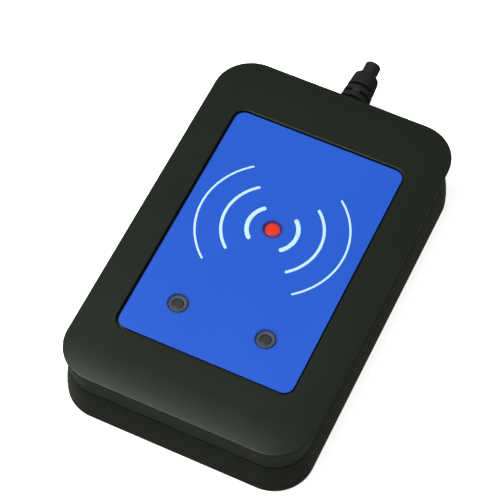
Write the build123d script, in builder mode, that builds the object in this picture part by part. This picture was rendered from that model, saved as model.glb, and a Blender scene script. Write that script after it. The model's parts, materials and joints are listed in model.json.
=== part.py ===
from build123d import *
import os
from math import cos, sin, radians, sqrt, degrees

# Desktop card reader, millimetres.
# Origin: centre of the bottom shell's flat underside. +Z up, +Y towards the cable, +X to the right
# seen from the front. The feet stand below z = 0.

# ---------------------------------------------------------------- driving dimensions
case_w = 56.0            # X, over the widest contour
case_l = 88.0            # Y, over the widest contour
corner_r = 8.8           # plan corner radius of the widest contour
wall = 2.7               # pocket inset from the widest contour
floor_t = 1.8            # bottom shell floor
part_z = 9.1             # parting plane, top of the bottom shell's outer wall
reveal = 0.28            # shadow gap between the two shells
waist = 0.90             # inset of both walls at the parting plane
rim_z = 16.5             # sharp rim of the top cover
rim_h = 0.55             # height of the rim band
rim_step = 0.32          # step in under the rim band
crown_z = 16.95          # flat middle of the crowned top
crown_in = 8.5           # the crown starts to fall this far in from the rim
ceiling_z = 15.0         # inside face of the top
tongue_t = 0.85          # bottom shell's tongue inside the cover wall
tongue_h = 1.15
foot_h = 0.9             # feet stand this far below the underside

overlay_w, overlay_l, overlay_r = 39.6, 60.0, 2.2
overlay_x, overlay_y = 0.14, 0.1   # the overlay lies a little to the right in its recess
recess_w, recess_l, recess_y = 40.5, 60.9, 0.12
overlay_t = 0.25
recess_r = 2.65
moat_z = 15.9            # floor of the groove round the overlay seat
seat_w, seat_l, seat_r = 39.2, 59.6, 2.0
recess_z = 16.55         # floor of the overlay recess
overlay_top = recess_z + overlay_t

lamp_y = 4.9             # centre indicator
lamp_r = 1.6
lamp_hole_r = 2.15
win_x, win_y = 10.03, -20.02
win_hole_r = 2.3         # hole in the overlay over each window
bezel_r = 2.0
bezel_in_r = 1.25
pipe_r = 1.22

arc_radii = (5.51, 11.0, 16.55)
arc_widths = (0.96, 0.66, 0.47)
arc_half_angle = 51.6    # to the far point of each rounded end
print_t = 0.03

boss_x, boss_y = 20.6, 36.6
boss_r = 2.8
tower_r = 3.3
case_screw_r = 1.1
foot_r = 4.3
foot_recess_r = 4.5
foot_recess = 0.5

pcb_z = 4.4              # underside of the board
pcb_t = 1.6
pcb_w = 48.0
pcb_y0, pcb_y1 = -38.0, 36.0
post_x, post_y = 20.0, 27.0
pcb_top = pcb_z + pcb_t

cable_r = 1.85
cable_z = 8.0
cable_end_y = 60.0
gap_half = 0.25          # half the gap between cable sections at a hinge
slot_w = 0.85
hinge_a, hinge_b, hinge_c = 47.825, 49.875, 52.025
lug_r = 1.0
lug_clear = 0.05
lug_in = 2.15            # lugs start this far from the cable axis
boot_seat_y = 43.0       # spot face the boot's collar seats on
boot_tip_y = 56.4

os.makedirs("parts", exist_ok=True)


def dome_mid(r, z_edge, z_top):
    """A point half way out on the ball-shaped end of a round rod, its centre on the rod's axis."""
    s = z_top - z_edge
    ball = (r * r + s * s) / (2 * s)
    return (r / 2, z_top - ball + sqrt(ball * ball - r * r / 4))


# ---------------------------------------------------------------- top cover
cover_wall = [(part_z + reveal, waist), (11.4, 0.80), (13.8, 0.56), (rim_z - rim_h, rim_step)]
crown = [(rim_z, 0.0), (16.66, 2.1), (16.80, 4.4), (16.90, 6.4), (crown_z, crown_in)]

with BuildPart() as top_cover:
    # side wall, flaring outwards above the waist
    for z, inset in cover_wall:
        with BuildSketch(Plane.XY.offset(z)):
            RectangleRounded(case_w - 2 * inset, case_l - 2 * inset, corner_r - inset)
    loft()
    # rim band, proud of the wall
    with BuildSketch(Plane.XY.offset(rim_z - rim_h)):
        RectangleRounded(case_w, case_l, corner_r)
    extrude(amount=rim_h)
    # crowned top
    for z, inset in crown:
        with BuildSketch(Plane.XY.offset(z)):
            RectangleRounded(case_w - 2 * inset, case_l - 2 * inset, corner_r - inset)
    loft()
    # inside pocket
    with BuildSketch(Plane.XY.offset(part_z)):
        RectangleRounded(case_w - 2 * wall, case_l - 2 * wall, corner_r - wall)
    extrude(amount=ceiling_z - part_z, mode=Mode.SUBTRACT)
    # rebate for the bottom shell's tongue
    with BuildSketch(Plane.XY.offset(part_z)):
        RectangleRounded(case_w - 2 * (wall - tongue_t - 0.1), case_l - 2 * (wall - tongue_t - 0.1), corner_r - (wall - tongue_t - 0.1))
    extrude(amount=tongue_h + 0.1, mode=Mode.SUBTRACT)
    # recess for the overlay
    with BuildSketch(Plane.XY.offset(recess_z)):
        with Locations((0, recess_y)):
            RectangleRounded(recess_w, recess_l, recess_r)
    extrude(amount=2.0, mode=Mode.SUBTRACT)
    # deeper groove round the overlay seat
    with BuildSketch(Plane.XY.offset(moat_z)):
        with Locations((0, recess_y)):
            RectangleRounded(recess_w, recess_l, recess_r)
        with Locations((0, overlay_y)):
            RectangleRounded(seat_w, seat_l, seat_r, mode=Mode.SUBTRACT)
    extrude(amount=recess_z - moat_z + 0.1, mode=Mode.SUBTRACT)
    # bosses for the case screws
    with BuildSketch(Plane.XY.offset(part_z)):
        with GridLocations(2 * boss_x, 2 * boss_y, 2, 2):
            Circle(boss_r)
    extrude(amount=ceiling_z - part_z + 0.2)
    with BuildSketch(Plane.XY.offset(part_z)):
        with GridLocations(2 * boss_x, 2 * boss_y, 2, 2):
            Circle(case_screw_r + 0.03)
    extrude(amount=4.4, mode=Mode.SUBTRACT)
    # sleeves that guide the three light pipes
    with BuildSketch(Plane.XY.offset(11.0)):
        with Locations((0, lamp_y)):
            Circle(3.6)
    extrude(amount=ceiling_z - 11.0 + 0.2)
    with BuildSketch(Plane.XY.offset(11.0)):
        with Locations((-win_x, win_y), (win_x, win_y)):
            Circle(4.1)
    extrude(amount=ceiling_z - 11.0 + 0.2)
    with BuildSketch(Plane.XY.offset(10.9)):
        with Locations((0, lamp_y)):
            Circle(2.9)
        with Locations((-win_x, win_y), (win_x, win_y)):
            Circle(3.3)
    extrude(amount=ceiling_z - 10.9, mode=Mode.SUBTRACT)
    with BuildSketch(Plane.XY.offset(14.0)):
        with Locations((0, lamp_y)):
            Circle(lamp_r + 0.1)
        with Locations((-win_x, win_y), (win_x, win_y)):
            Circle(bezel_r + 0.07)
    extrude(amount=4.0, mode=Mode.SUBTRACT)
    # arch over the boot's neck, and the upper part of the seat for its collar
    with BuildSketch(Plane.XZ.offset(-46.0)):
        with Locations((0, cable_z)):
            Circle(3.35)
    extrude(amount=6.0, mode=Mode.SUBTRACT)
    with BuildSketch(Plane.XZ.offset(-46.0)):
        with Locations((0, cable_z)):
            Circle(3.95)
    extrude(amount=46.0 - boot_seat_y, mode=Mode.SUBTRACT)
top_cover.part.label = "top_cover"
export_step(top_cover.part, "parts/top_cover.step")

# ---------------------------------------------------------------- bottom shell
belly_z = 1.5            # top of the bottom shell's upright band
shell_wall = [(belly_z, 0.0), (3.5, 0.09), (5.5, 0.27), (7.4, 0.55), (part_z, waist)]

with BuildPart() as bottom_shell:
    # softened edge around the underside
    for z, inset in [(0.0, 0.42), (0.14, 0.14), (0.45, 0.0)]:
        with BuildSketch(Plane.XY.offset(z)):
            RectangleRounded(case_w - 2 * inset, case_l - 2 * inset, corner_r - inset)
    loft()
    with BuildSketch(Plane.XY.offset(0.45)):
        RectangleRounded(case_w, case_l, corner_r)
    extrude(amount=belly_z - 0.45)
    # side wall, swelling out below the waist
    for z, inset in shell_wall:
        with BuildSketch(Plane.XY.offset(z)):
            RectangleRounded(case_w - 2 * inset, case_l - 2 * inset, corner_r - inset)
    loft()
    # tongue that stands up inside the cover
    with BuildSketch(Plane.XY.offset(part_z - 0.5)):
        RectangleRounded(case_w - 2 * (wall - tongue_t), case_l - 2 * (wall - tongue_t), corner_r - (wall - tongue_t))
    extrude(amount=0.5 + tongue_h)
    # inside pocket
    with BuildSketch(Plane.XY.offset(floor_t)):
        RectangleRounded(case_w - 2 * wall, case_l - 2 * wall, corner_r - wall)
    extrude(amount=12.0, mode=Mode.SUBTRACT)
    # screw towers
    with BuildSketch(Plane.XY.offset(floor_t - 0.2)):
        with GridLocations(2 * boss_x, 2 * boss_y, 2, 2):
            Circle(tower_r)
    extrude(amount=part_z - floor_t + 0.15)
    # board posts
    with BuildSketch(Plane.XY.offset(floor_t - 0.2)):
        with GridLocations(2 * post_x, 2 * post_y, 2, 2):
            Circle(2.3)
    extrude(amount=pcb_z - floor_t + 0.2)
    with BuildSketch(Plane.XY.offset(pcb_z)):
        with GridLocations(2 * post_x, 2 * post_y, 2, 2):
            Circle(0.83)
    extrude(amount=-2.6, mode=Mode.SUBTRACT)
    # stiffening ribs across the floor
    with BuildSketch(Plane.XY.offset(floor_t - 0.2)):
        with Locations((0, -12), (0, 12)):
            Rectangle(38.0, 1.0)
        with Locations((-12, 0), (12, 0)):
            Rectangle(1.0, 46.0)
    extrude(amount=1.4)
    # pockets for the feet, screw wells and screw holes
    with BuildSketch(Plane.XY):
        with GridLocations(2 * boss_x, 2 * boss_y, 2, 2):
            Circle(foot_recess_r)
    extrude(amount=foot_recess, mode=Mode.SUBTRACT)
    with BuildSketch(Plane.XY):
        with GridLocations(2 * boss_x, 2 * boss_y, 2, 2):
            Circle(2.35)
    extrude(amount=3.2, mode=Mode.SUBTRACT)
    with BuildSketch(Plane.XY):
        with GridLocations(2 * boss_x, 2 * boss_y, 2, 2):
            Circle(case_screw_r + 0.2)
    extrude(amount=12.0, mode=Mode.SUBTRACT)
    # shallow recess for the rating label
    with BuildSketch(Plane.XY):
        with Locations((0, 17.0)):
            RectangleRounded(34.4, 20.4, 1.2)
    extrude(amount=0.15, mode=Mode.SUBTRACT)
    # notch for the boot's neck, and the lower part of the seat for its collar
    with BuildSketch(Plane.XZ.offset(-46.0)):
        with Locations((0, cable_z)):
            Circle(3.35)
    extrude(amount=6.0, mode=Mode.SUBTRACT)
    with BuildSketch(Plane.XZ.offset(-46.0)):
        with Locations((0, cable_z)):
            Circle(3.95)
    extrude(amount=46.0 - boot_seat_y, mode=Mode.SUBTRACT)
bottom_shell.part.label = "bottom_shell"
export_step(bottom_shell.part, "parts/bottom_shell.step")

# ---------------------------------------------------------------- overlay and its print
with BuildPart() as front_overlay:
    with BuildSketch(Plane.XY.offset(recess_z)):
        with Locations((overlay_x, overlay_y)):
            RectangleRounded(overlay_w, overlay_l, overlay_r)
        with Locations((0, lamp_y)):
            Circle(lamp_hole_r, mode=Mode.SUBTRACT)
        with Locations((-win_x, win_y), (win_x, win_y)):
            Circle(win_hole_r, mode=Mode.SUBTRACT)
    extrude(amount=overlay_t)
front_overlay.part.label = "front_overlay"
export_step(front_overlay.part, "parts/front_overlay.step")

with BuildPart() as printed_arcs:
    for side in (0.0, 180.0):
        for r, w in zip(arc_radii, arc_widths):
            a = arc_half_angle - degrees(w / 2 / r)
            with BuildSketch(Plane.XY.offset(overlay_top)):
                with BuildLine():
                    outer = CenterArc((0, lamp_y), r + w / 2, side - a, 2 * a)
                    inner = CenterArc((0, lamp_y), r - w / 2, side - a, 2 * a)
                    ce = (r * cos(radians(side + a)), lamp_y + r * sin(radians(side + a)))
                    cs = (r * cos(radians(side - a)), lamp_y + r * sin(radians(side - a)))
                    CenterArc(ce, w / 2, side + a, 180)
                    CenterArc(cs, w / 2, side - a + 180, 180)
                make_face()
            extrude(amount=print_t)
printed_arcs.part.label = "printed_arcs"
export_step(printed_arcs.part, "parts/printed_arcs.step")

# ---------------------------------------------------------------- light pipes and bezels
with BuildPart() as centre_light_pipe:
    with BuildSketch(Plane.XZ.offset(-lamp_y)):
        with BuildLine():
            Polyline((0, 16.92), (0, 8.1), (1.7, 8.1), (1.7, 13.2), (2.8, 13.4), (2.8, 14.0), (lamp_r, 14.0), (lamp_r, 16.62))
            ThreePointArc((lamp_r, 16.62), dome_mid(lamp_r, 16.62, 16.92), (0, 16.92))
        make_face()
    revolve(axis=Axis((0, lamp_y, 0), (0, 0, 1)))
centre_light_pipe.part.label = "centre_light_pipe"
export_step(centre_light_pipe.part, "parts/centre_light_pipe.step")

for side_name, sx in (("left", -win_x), ("right", win_x)):
    with BuildPart() as bezel:
        with BuildSketch(Plane.XZ.offset(-win_y)):
            with BuildLine():
                Polyline(
                    (bezel_in_r, 12.6), (3.2, 12.6), (3.2, 14.0), (bezel_r, 14.0), (bezel_r, 16.60),
                    (bezel_r - 0.12, 16.72), (bezel_in_r + 0.08, 16.72), (bezel_in_r, 16.64), (bezel_in_r, 12.6),
                )
            make_face()
        revolve(axis=Axis((0, win_y, 0), (0, 0, 1)))
    with BuildPart() as window_bezel:
        with Locations((sx, 0, 0)):
            add(bezel.part)
    window_bezel.part.label = side_name + "_window_bezel"
    export_step(window_bezel.part, "parts/" + side_name + "_window_bezel.step")

    with BuildPart() as pipe:
        with BuildSketch(Plane.XZ.offset(-win_y)):
            with BuildLine():
                Polyline((0, 16.62), (0, 8.1), (2.2, 8.1), (2.2, 12.5), (pipe_r, 12.5), (pipe_r, 16.48))
                ThreePointArc((pipe_r, 16.48), dome_mid(pipe_r, 16.48, 16.62), (0, 16.62))
            make_face()
        revolve(axis=Axis((0, win_y, 0), (0, 0, 1)))
    with BuildPart() as light_pipe:
        with Locations((sx, 0, 0)):
            add(pipe.part)
    light_pipe.part.label = side_name + "_light_pipe"
    export_step(light_pipe.part, "parts/" + side_name + "_light_pipe.step")

# ---------------------------------------------------------------- underside
with BuildPart() as rubber_feet:
    with BuildSketch(Plane.XY.offset(-foot_h)):
        with GridLocations(2 * boss_x, 2 * boss_y, 2, 2):
            Circle(foot_r)
    extrude(amount=foot_h + foot_recess)
    fillet(rubber_feet.edges().group_by(Axis.Z)[0], 0.5)
rubber_feet.part.label = "rubber_feet"
export_step(rubber_feet.part, "parts/rubber_feet.step")

with BuildPart() as rating_label:
    with BuildSketch(Plane.XY.offset(0.05)):
        with Locations((0, 17.0)):
            RectangleRounded(34.0, 20.0, 1.0)
    extrude(amount=0.10)
rating_label.part.label = "rating_label"
export_step(rating_label.part, "parts/rating_label.step")

with BuildPart() as case_screws:
    # pan heads in the wells, shanks up into the cover's bosses
    with BuildSketch(Plane.XY.offset(1.7)):
        with GridLocations(2 * boss_x, 2 * boss_y, 2, 2):
            Circle(2.1)
    extrude(amount=1.5)
    fillet(case_screws.edges().group_by(Axis.Z)[0], 0.5)
    with BuildSketch(Plane.XY.offset(3.2)):
        with GridLocations(2 * boss_x, 2 * boss_y, 2, 2):
            Circle(case_screw_r)
    extrude(amount=9.8)
    chamfer(case_screws.edges().group_by(Axis.Z)[-1], 0.4)
    # cross recess
    with BuildSketch(Plane.XY.offset(1.7)):
        with GridLocations(2 * boss_x, 2 * boss_y, 2, 2):
            Rectangle(2.2, 0.5)
            Rectangle(0.5, 2.2)
    extrude(amount=0.8, mode=Mode.SUBTRACT)
case_screws.part.label = "case_screws"
export_step(case_screws.part, "parts/case_screws.step")

# ---------------------------------------------------------------- board
with BuildPart() as main_pcb:
    with BuildSketch(Plane.XY.offset(pcb_z)):
        with Locations((0, (pcb_y0 + pcb_y1) / 2)):
            Rectangle(pcb_w, pcb_y1 - pcb_y0)
        with GridLocations(2 * boss_x, 2 * boss_y, 2, 2):
            Circle(tower_r + 0.5, mode=Mode.SUBTRACT)
        with GridLocations(2 * post_x, 2 * post_y, 2, 2):
            Circle(1.15, mode=Mode.SUBTRACT)
    extrude(amount=pcb_t)
main_pcb.part.label = "main_pcb"
export_step(main_pcb.part, "parts/main_pcb.step")

with BuildPart() as pcb_screws:
    with BuildSketch(Plane.XY.offset(pcb_top)):
        with GridLocations(2 * post_x, 2 * post_y, 2, 2):
            Circle(1.9)
    extrude(amount=1.3)
    fillet(pcb_screws.edges().group_by(Axis.Z)[-1], 0.45)
    with BuildSketch(Plane.XY.offset(pcb_top)):
        with GridLocations(2 * post_x, 2 * post_y, 2, 2):
            Circle(0.8)
    extrude(amount=-3.8)
    with BuildSketch(Plane.XY.offset(pcb_top + 1.3)):
        with GridLocations(2 * post_x, 2 * post_y, 2, 2):
            Rectangle(2.0, 0.45)
            Rectangle(0.45, 2.0)
    extrude(amount=-0.7, mode=Mode.SUBTRACT)
pcb_screws.part.label = "pcb_screws"
export_step(pcb_screws.part, "parts/pcb_screws.step")

# ---------------------------------------------------------------- antenna coil, bonded under the cover
coil_w, coil_l, coil_r, coil_t = 45.0, 59.0, 7.0, 2.6
coil_z0, coil_z1 = 11.3, 13.5
with BuildPart() as antenna_coil:
    with BuildSketch(Plane.XY.offset(coil_z0)):
        RectangleRounded(coil_w, coil_l, coil_r)
        RectangleRounded(coil_w - 2 * coil_t, coil_l - 2 * coil_t, coil_r - coil_t, mode=Mode.SUBTRACT)
    extrude(amount=coil_z1 - coil_z0)
    fillet(antenna_coil.edges().group_by(Axis.Z)[0] + antenna_coil.edges().group_by(Axis.Z)[-1], 0.5)
antenna_coil.part.label = "antenna_coil"
export_step(antenna_coil.part, "parts/antenna_coil.step")

band_t, band_gap = 0.12, 0.02
with BuildPart() as coil_tape_bands:
    # bands on the two long sides
    with BuildSketch(Plane.XZ.offset(-3.0)):
        with Locations((-(coil_w - coil_t) / 2, (coil_z0 + coil_z1) / 2), ((coil_w - coil_t) / 2, (coil_z0 + coil_z1) / 2)):
            Rectangle(coil_t + 2 * (band_t + band_gap), coil_z1 - coil_z0 + 2 * (band_t + band_gap))
            Rectangle(coil_t + 2 * band_gap, coil_z1 - coil_z0 + 2 * band_gap, mode=Mode.SUBTRACT)
    extrude(amount=6.0)
    # bands on the two short sides
    with BuildSketch(Plane.YZ.offset(-3.0)):
        with Locations((-(coil_l - coil_t) / 2, (coil_z0 + coil_z1) / 2), ((coil_l - coil_t) / 2, (coil_z0 + coil_z1) / 2)):
            Rectangle(coil_t + 2 * (band_t + band_gap), coil_z1 - coil_z0 + 2 * (band_t + band_gap))
            Rectangle(coil_t + 2 * band_gap, coil_z1 - coil_z0 + 2 * band_gap, mode=Mode.SUBTRACT)
    extrude(amount=6.0)
coil_tape_bands.part.label = "coil_tape_bands"
export_step(coil_tape_bands.part, "parts/coil_tape_bands.step")

with BuildPart() as coil_foam_pads:
    with BuildSketch(Plane.XY.offset(coil_z1)):
        with Locations((-(coil_w - coil_t) / 2, -13), ((coil_w - coil_t) / 2, -13), (-(coil_w - coil_t) / 2, 14), ((coil_w - coil_t) / 2, 14)):
            Rectangle(2.4, 9.0)
    extrude(amount=ceiling_z - coil_z1)
coil_foam_pads.part.label = "coil_foam_pads"
export_step(coil_foam_pads.part, "parts/coil_foam_pads.step")

with BuildPart() as coil_leads:
    for sx in (-1.0, 1.0):
        with BuildLine():
            lead = Spline(
                (15.0 + 0.9 * sx, -(coil_l / 2 - coil_t) + 0.25, 12.0),
                (15.0 + 1.0 * sx, -24.5, 10.6),
                (15.0 + 1.2 * sx, -23.2, 8.2),
                (15.0 + 1.2 * sx, -23.0, pcb_top),
                tangents=((0, 1, -0.2), (0, 0, -1)),
            )
        with BuildSketch(Plane(origin=lead @ 0, z_dir=lead % 0)):
            Circle(0.18)
        sweep(path=lead)
coil_leads.part.label = "coil_leads"
export_step(coil_leads.part, "parts/coil_leads.step")

# ---------------------------------------------------------------- parts on the board
with BuildPart() as microcontroller:
    with BuildSketch(Plane.XY.offset(pcb_top + 0.1)):
        with Locations((-13.0, 6.0)):
            Rectangle(10.0, 10.0)
    extrude(amount=1.4)
    chamfer(microcontroller.edges().group_by(Axis.Z)[-1], 0.15)
    with BuildSketch(Plane.XY.offset(pcb_top)):
        for k in range(11):
            with Locations((-13.0 - 5.6, 2.0 + 0.8 * k), (-13.0 + 5.6, 2.0 + 0.8 * k)):
                Rectangle(1.4, 0.35)
            with Locations((-17.0 + 0.8 * k, 6.0 - 5.6), (-17.0 + 0.8 * k, 6.0 + 5.6)):
                Rectangle(0.35, 1.4)
    extrude(amount=0.5)
microcontroller.part.label = "microcontroller"
export_step(microcontroller.part, "parts/microcontroller.step")

with BuildPart() as reader_chip:
    with BuildSketch(Plane.XY.offset(pcb_top + 0.1)):
        with Locations((12.0, 3.0)):
            Rectangle(4.0, 10.0)
    extrude(amount=1.4)
    chamfer(reader_chip.edges().group_by(Axis.Z)[-1], 0.15)
    with BuildSketch(Plane.XY.offset(pcb_top)):
        for k in range(8):
            with Locations((12.0 - 2.5, 3.0 - 4.445 + 1.27 * k), (12.0 + 2.5, 3.0 - 4.445 + 1.27 * k)):
                Rectangle(1.2, 0.42)
    extrude(amount=0.5)
reader_chip.part.label = "reader_chip"
export_step(reader_chip.part, "parts/reader_chip.step")

with BuildPart() as crystal_can:
    with BuildSketch(Plane.XY.offset(pcb_top)):
        with Locations((-13.0, -5.0)):
            SlotOverall(11.0, 4.6)
    extrude(amount=0.5)
    with BuildSketch(Plane.XY.offset(pcb_top + 0.5)):
        with Locations((-13.0, -5.0)):
            SlotOverall(10.2, 3.8)
    extrude(amount=2.9)
    fillet(crystal_can.edges().group_by(Axis.Z)[-1], 0.5)
crystal_can.part.label = "crystal_can"
export_step(crystal_can.part, "parts/crystal_can.step")

with BuildPart() as buzzer:
    with BuildSketch(Plane.XY.offset(pcb_top)):
        with Locations((0.0, -8.5)):
            Circle(4.5)
    extrude(amount=4.4)
    fillet(buzzer.edges().group_by(Axis.Z)[-1], 0.5)
    with BuildSketch(Plane.XY.offset(pcb_top + 4.4)):
        with Locations((0.0, -8.5)):
            Circle(0.9)
    extrude(amount=-2.4, mode=Mode.SUBTRACT)
buzzer.part.label = "buzzer"
export_step(buzzer.part, "parts/buzzer.step")

with BuildPart() as electrolytic_capacitor:
    with BuildSketch(Plane.XY.offset(pcb_top)):
        with Locations((14.5, 15.5)):
            Rectangle(5.3, 5.3)
    extrude(amount=0.8)
    chamfer(electrolytic_capacitor.edges().filter_by(Axis.Z).sort_by(Axis.Y)[-2:], 0.9)
    with BuildSketch(Plane.XY.offset(pcb_top + 0.8)):
        with Locations((14.5, 15.5)):
            Circle(2.5)
    extrude(amount=4.4)
    fillet(electrolytic_capacitor.edges().group_by(Axis.Z)[-1], 0.4)
electrolytic_capacitor.part.label = "electrolytic_capacitor"
export_step(electrolytic_capacitor.part, "parts/electrolytic_capacitor.step")

with BuildPart() as voltage_regulator:
    with BuildSketch(Plane.XY.offset(pcb_top + 0.05)):
        with Locations((-14.0, 19.0)):
            Rectangle(6.5, 3.5)
    extrude(amount=1.6)
    chamfer(voltage_regulator.edges().group_by(Axis.Z)[-1], 0.15)
    with BuildSketch(Plane.XY.offset(pcb_top)):
        with Locations((-14.0, 19.0 + 2.5)):
            Rectangle(3.0, 1.9)
        with Locations((-16.3, 19.0 - 2.5), (-14.0, 19.0 - 2.5), (-11.7, 19.0 - 2.5)):
            Rectangle(0.75, 1.9)
    extrude(amount=0.4)
voltage_regulator.part.label = "voltage_regulator"
export_step(voltage_regulator.part, "parts/voltage_regulator.step")

with BuildPart() as chip_resistors:
    with BuildSketch(Plane.XY.offset(pcb_top)):
        for k in range(6):
            with Locations((4.5, -1.0 + 2.0 * k)):
                Rectangle(2.0, 1.25)
        for k in range(4):
            with Locations((-6.0 + 0.0 * k, -3.0 - 2.2 * k)):
                Rectangle(1.25, 1.6)
        with Locations((-6.5, -21.5), (13.6, -18.2)):
            Rectangle(2.0, 1.25)
    extrude(amount=0.5)
chip_resistors.part.label = "chip_resistors"
export_step(chip_resistors.part, "parts/chip_resistors.step")

with BuildPart() as chip_capacitors:
    with BuildSketch(Plane.XY.offset(pcb_top)):
        for k in range(5):
            with Locations((17.5, -3.0 + 2.4 * k)):
                Rectangle(1.25, 2.0)
        for k in range(4):
            with Locations((-19.0 + 2.6 * k, -11.0)):
                Rectangle(1.25, 2.0)
        with Locations((-20.6, 19.0), (-8.0, 19.0), (8.5, 14.0)):
            Rectangle(1.6, 2.2)
    extrude(amount=0.85)
chip_capacitors.part.label = "chip_capacitors"
export_step(chip_capacitors.part, "parts/chip_capacitors.step")

with BuildPart() as indicator_leds:
    with BuildSketch(Plane.XY.offset(pcb_top)):
        with Locations((0, lamp_y), (-win_x, win_y), (win_x, win_y)):
            Rectangle(3.4, 2.8)
    extrude(amount=1.4)
    with BuildSketch(Plane.XY.offset(pcb_top + 1.4)):
        with Locations((0, lamp_y), (-win_x, win_y), (win_x, win_y)):
            Circle(1.15)
    extrude(amount=0.4)
indicator_leds.part.label = "indicator_leds"
export_step(indicator_leds.part, "parts/indicator_leds.step")

# ---------------------------------------------------------------- wire header, plug and wires
pin_z = 8.5
with BuildPart() as wire_header:
    with BuildSketch(Plane.XY.offset(pcb_top)):
        with Locations((0, 17.5)):
            Rectangle(12.6, 7.0)
    extrude(amount=4.8)
    # cavity open towards the cable
    with BuildSketch(Plane.XZ.offset(-21.0)):
        with Locations((0, pin_z)):
            Rectangle(10.9, 3.5)
    extrude(amount=5.0, mode=Mode.SUBTRACT)
    # pin holes through the back wall
    with BuildSketch(Plane.XZ.offset(-16.0)):
        with Locations(*[(x, pin_z) for x in (-4, -2, 0, 2, 4)]):
            Rectangle(0.6, 0.6)
    extrude(amount=2.0, mode=Mode.SUBTRACT)
wire_header.part.label = "wire_header"
export_step(wire_header.part, "parts/wire_header.step")

with BuildPart() as header_pins:
    with BuildSketch(Plane.XZ.offset(-20.2)):
        with Locations(*[(x, pin_z) for x in (-4, -2, 0, 2, 4)]):
            Rectangle(0.5, 0.5)
    extrude(amount=20.2 - 12.6)
    with BuildSketch(Plane.XY.offset(pcb_top)):
        with Locations(*[(x, 12.85) for x in (-4, -2, 0, 2, 4)]):
            Rectangle(0.5, 0.5)
    extrude(amount=pin_z - pcb_top + 0.25)
header_pins.part.label = "header_pins"
export_step(header_pins.part, "parts/header_pins.step")

with BuildPart() as wire_plug:
    with BuildSketch(Plane.XZ.offset(-23.6)):
        with Locations((0, pin_z)):
            Rectangle(10.7, 3.3)
    extrude(amount=23.6 - 16.1)
    with BuildSketch(Plane.XZ.offset(-20.8)):
        with Locations(*[(x, pin_z) for x in (-4, -2, 0, 2, 4)]):
            Rectangle(0.7, 0.7)
    extrude(amount=4.8, mode=Mode.SUBTRACT)
    # latch rib
    with BuildSketch(Plane.XY.offset(pin_z + 1.65)):
        with Locations((0, 22.6)):
            Rectangle(5.0, 1.2)
    extrude(amount=0.6)
wire_plug.part.label = "wire_plug"
export_step(wire_plug.part, "parts/wire_plug.step")

jacket_in_y = 34.0
for colour, px, ex, ez in (
    ("red", -4.0, -0.62, 0.62),
    ("white", -2.0, -0.62, -0.62),
    ("drain", 0.0, 0.0, 0.0),
    ("green", 2.0, 0.62, -0.62),
    ("black", 4.0, 0.62, 0.62),
):
    r = 0.2 if colour == "drain" else 0.4
    with BuildPart() as wire:
        with BuildLine():
            run = Spline(
                (px, 23.6, pin_z),
                (px * 0.95, 26.0, pin_z + 0.3),
                (px * 0.35 + ex * 0.6, 31.0, cable_z + ez * 0.8 + 0.15),
                (ex, jacket_in_y, cable_z + ez),
                tangents=((0, 1, 0), (0, 1, 0)),
            )
        with BuildSketch(Plane(origin=run @ 0, z_dir=run % 0)):
            Circle(r)
        sweep(path=run)
    wire.part.label = "wire_" + colour
    export_step(wire.part, "parts/wire_" + colour + ".step")

# ---------------------------------------------------------------- cable and strain relief
cable_axis = Axis((0, 0, cable_z), (0, 1, 0))
profile_plane = Plane.XY.offset(cable_z)

with BuildPart() as cable_inner:
    with BuildSketch(profile_plane):
        with BuildLine():
            Polyline((0, jacket_in_y), (cable_r, jacket_in_y), (cable_r, hinge_a - gap_half), (0, hinge_a - gap_half), (0, jacket_in_y))
        make_face()
    revolve(axis=cable_axis)
cable_inner.part.label = "cable_inner"
export_step(cable_inner.part, "parts/cable_inner.step")

with BuildPart() as cable_tie:
    with BuildSketch(profile_plane):
        with BuildLine():
            Polyline((cable_r + 0.02, 36.2), (cable_r + 0.95, 36.2), (cable_r + 0.95, 38.6), (cable_r + 0.02, 38.6), (cable_r + 0.02, 36.2))
        make_face()
    revolve(axis=cable_axis)
    with BuildSketch(Plane.XZ.offset(-38.9)):
        with Locations((0, cable_z + cable_r + 1.6)):
            Rectangle(3.6, 2.4)
    extrude(amount=3.0)
cable_tie.part.label = "cable_tie"
export_step(cable_tie.part, "parts/cable_tie.step")

with BuildPart() as cable_link_1:
    with BuildSketch(profile_plane):
        with BuildLine():
            Polyline((0, hinge_a + gap_half), (cable_r, hinge_a + gap_half), (cable_r, hinge_b - gap_half), (0, hinge_b - gap_half), (0, hinge_a + gap_half))
        make_face()
    revolve(axis=cable_axis)
cable_link_1.part.label = "cable_link_1"
export_step(cable_link_1.part, "parts/cable_link_1.step")

with BuildPart() as cable_link_2:
    with BuildSketch(profile_plane):
        with BuildLine():
            Polyline((0, hinge_b + gap_half), (cable_r, hinge_b + gap_half), (cable_r, hinge_c - gap_half), (0, hinge_c - gap_half), (0, hinge_b + gap_half))
        make_face()
    revolve(axis=cable_axis)
cable_link_2.part.label = "cable_link_2"
export_step(cable_link_2.part, "parts/cable_link_2.step")

# the lead beyond the boot: jacket, braided shield and four conductors
lead_y0 = hinge_c + gap_half
shield_r, core_r, wire_r, wire_off = 1.36, 1.18, 0.44, 0.64
gripped_r = 1.66  # the jacket is squeezed where the boot's tip is moulded round it
with BuildPart() as cable_lead:
    with BuildSketch(profile_plane):
        with BuildLine():
            Polyline(
                (shield_r, lead_y0), (gripped_r, lead_y0), (gripped_r, boot_tip_y + 0.03), (cable_r, boot_tip_y + 0.03),
                (cable_r, cable_end_y), (shield_r, cable_end_y), (shield_r, lead_y0),
            )
        make_face()
    revolve(axis=cable_axis)
cable_lead.part.label = "cable_lead"
export_step(cable_lead.part, "parts/cable_lead.step")

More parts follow.
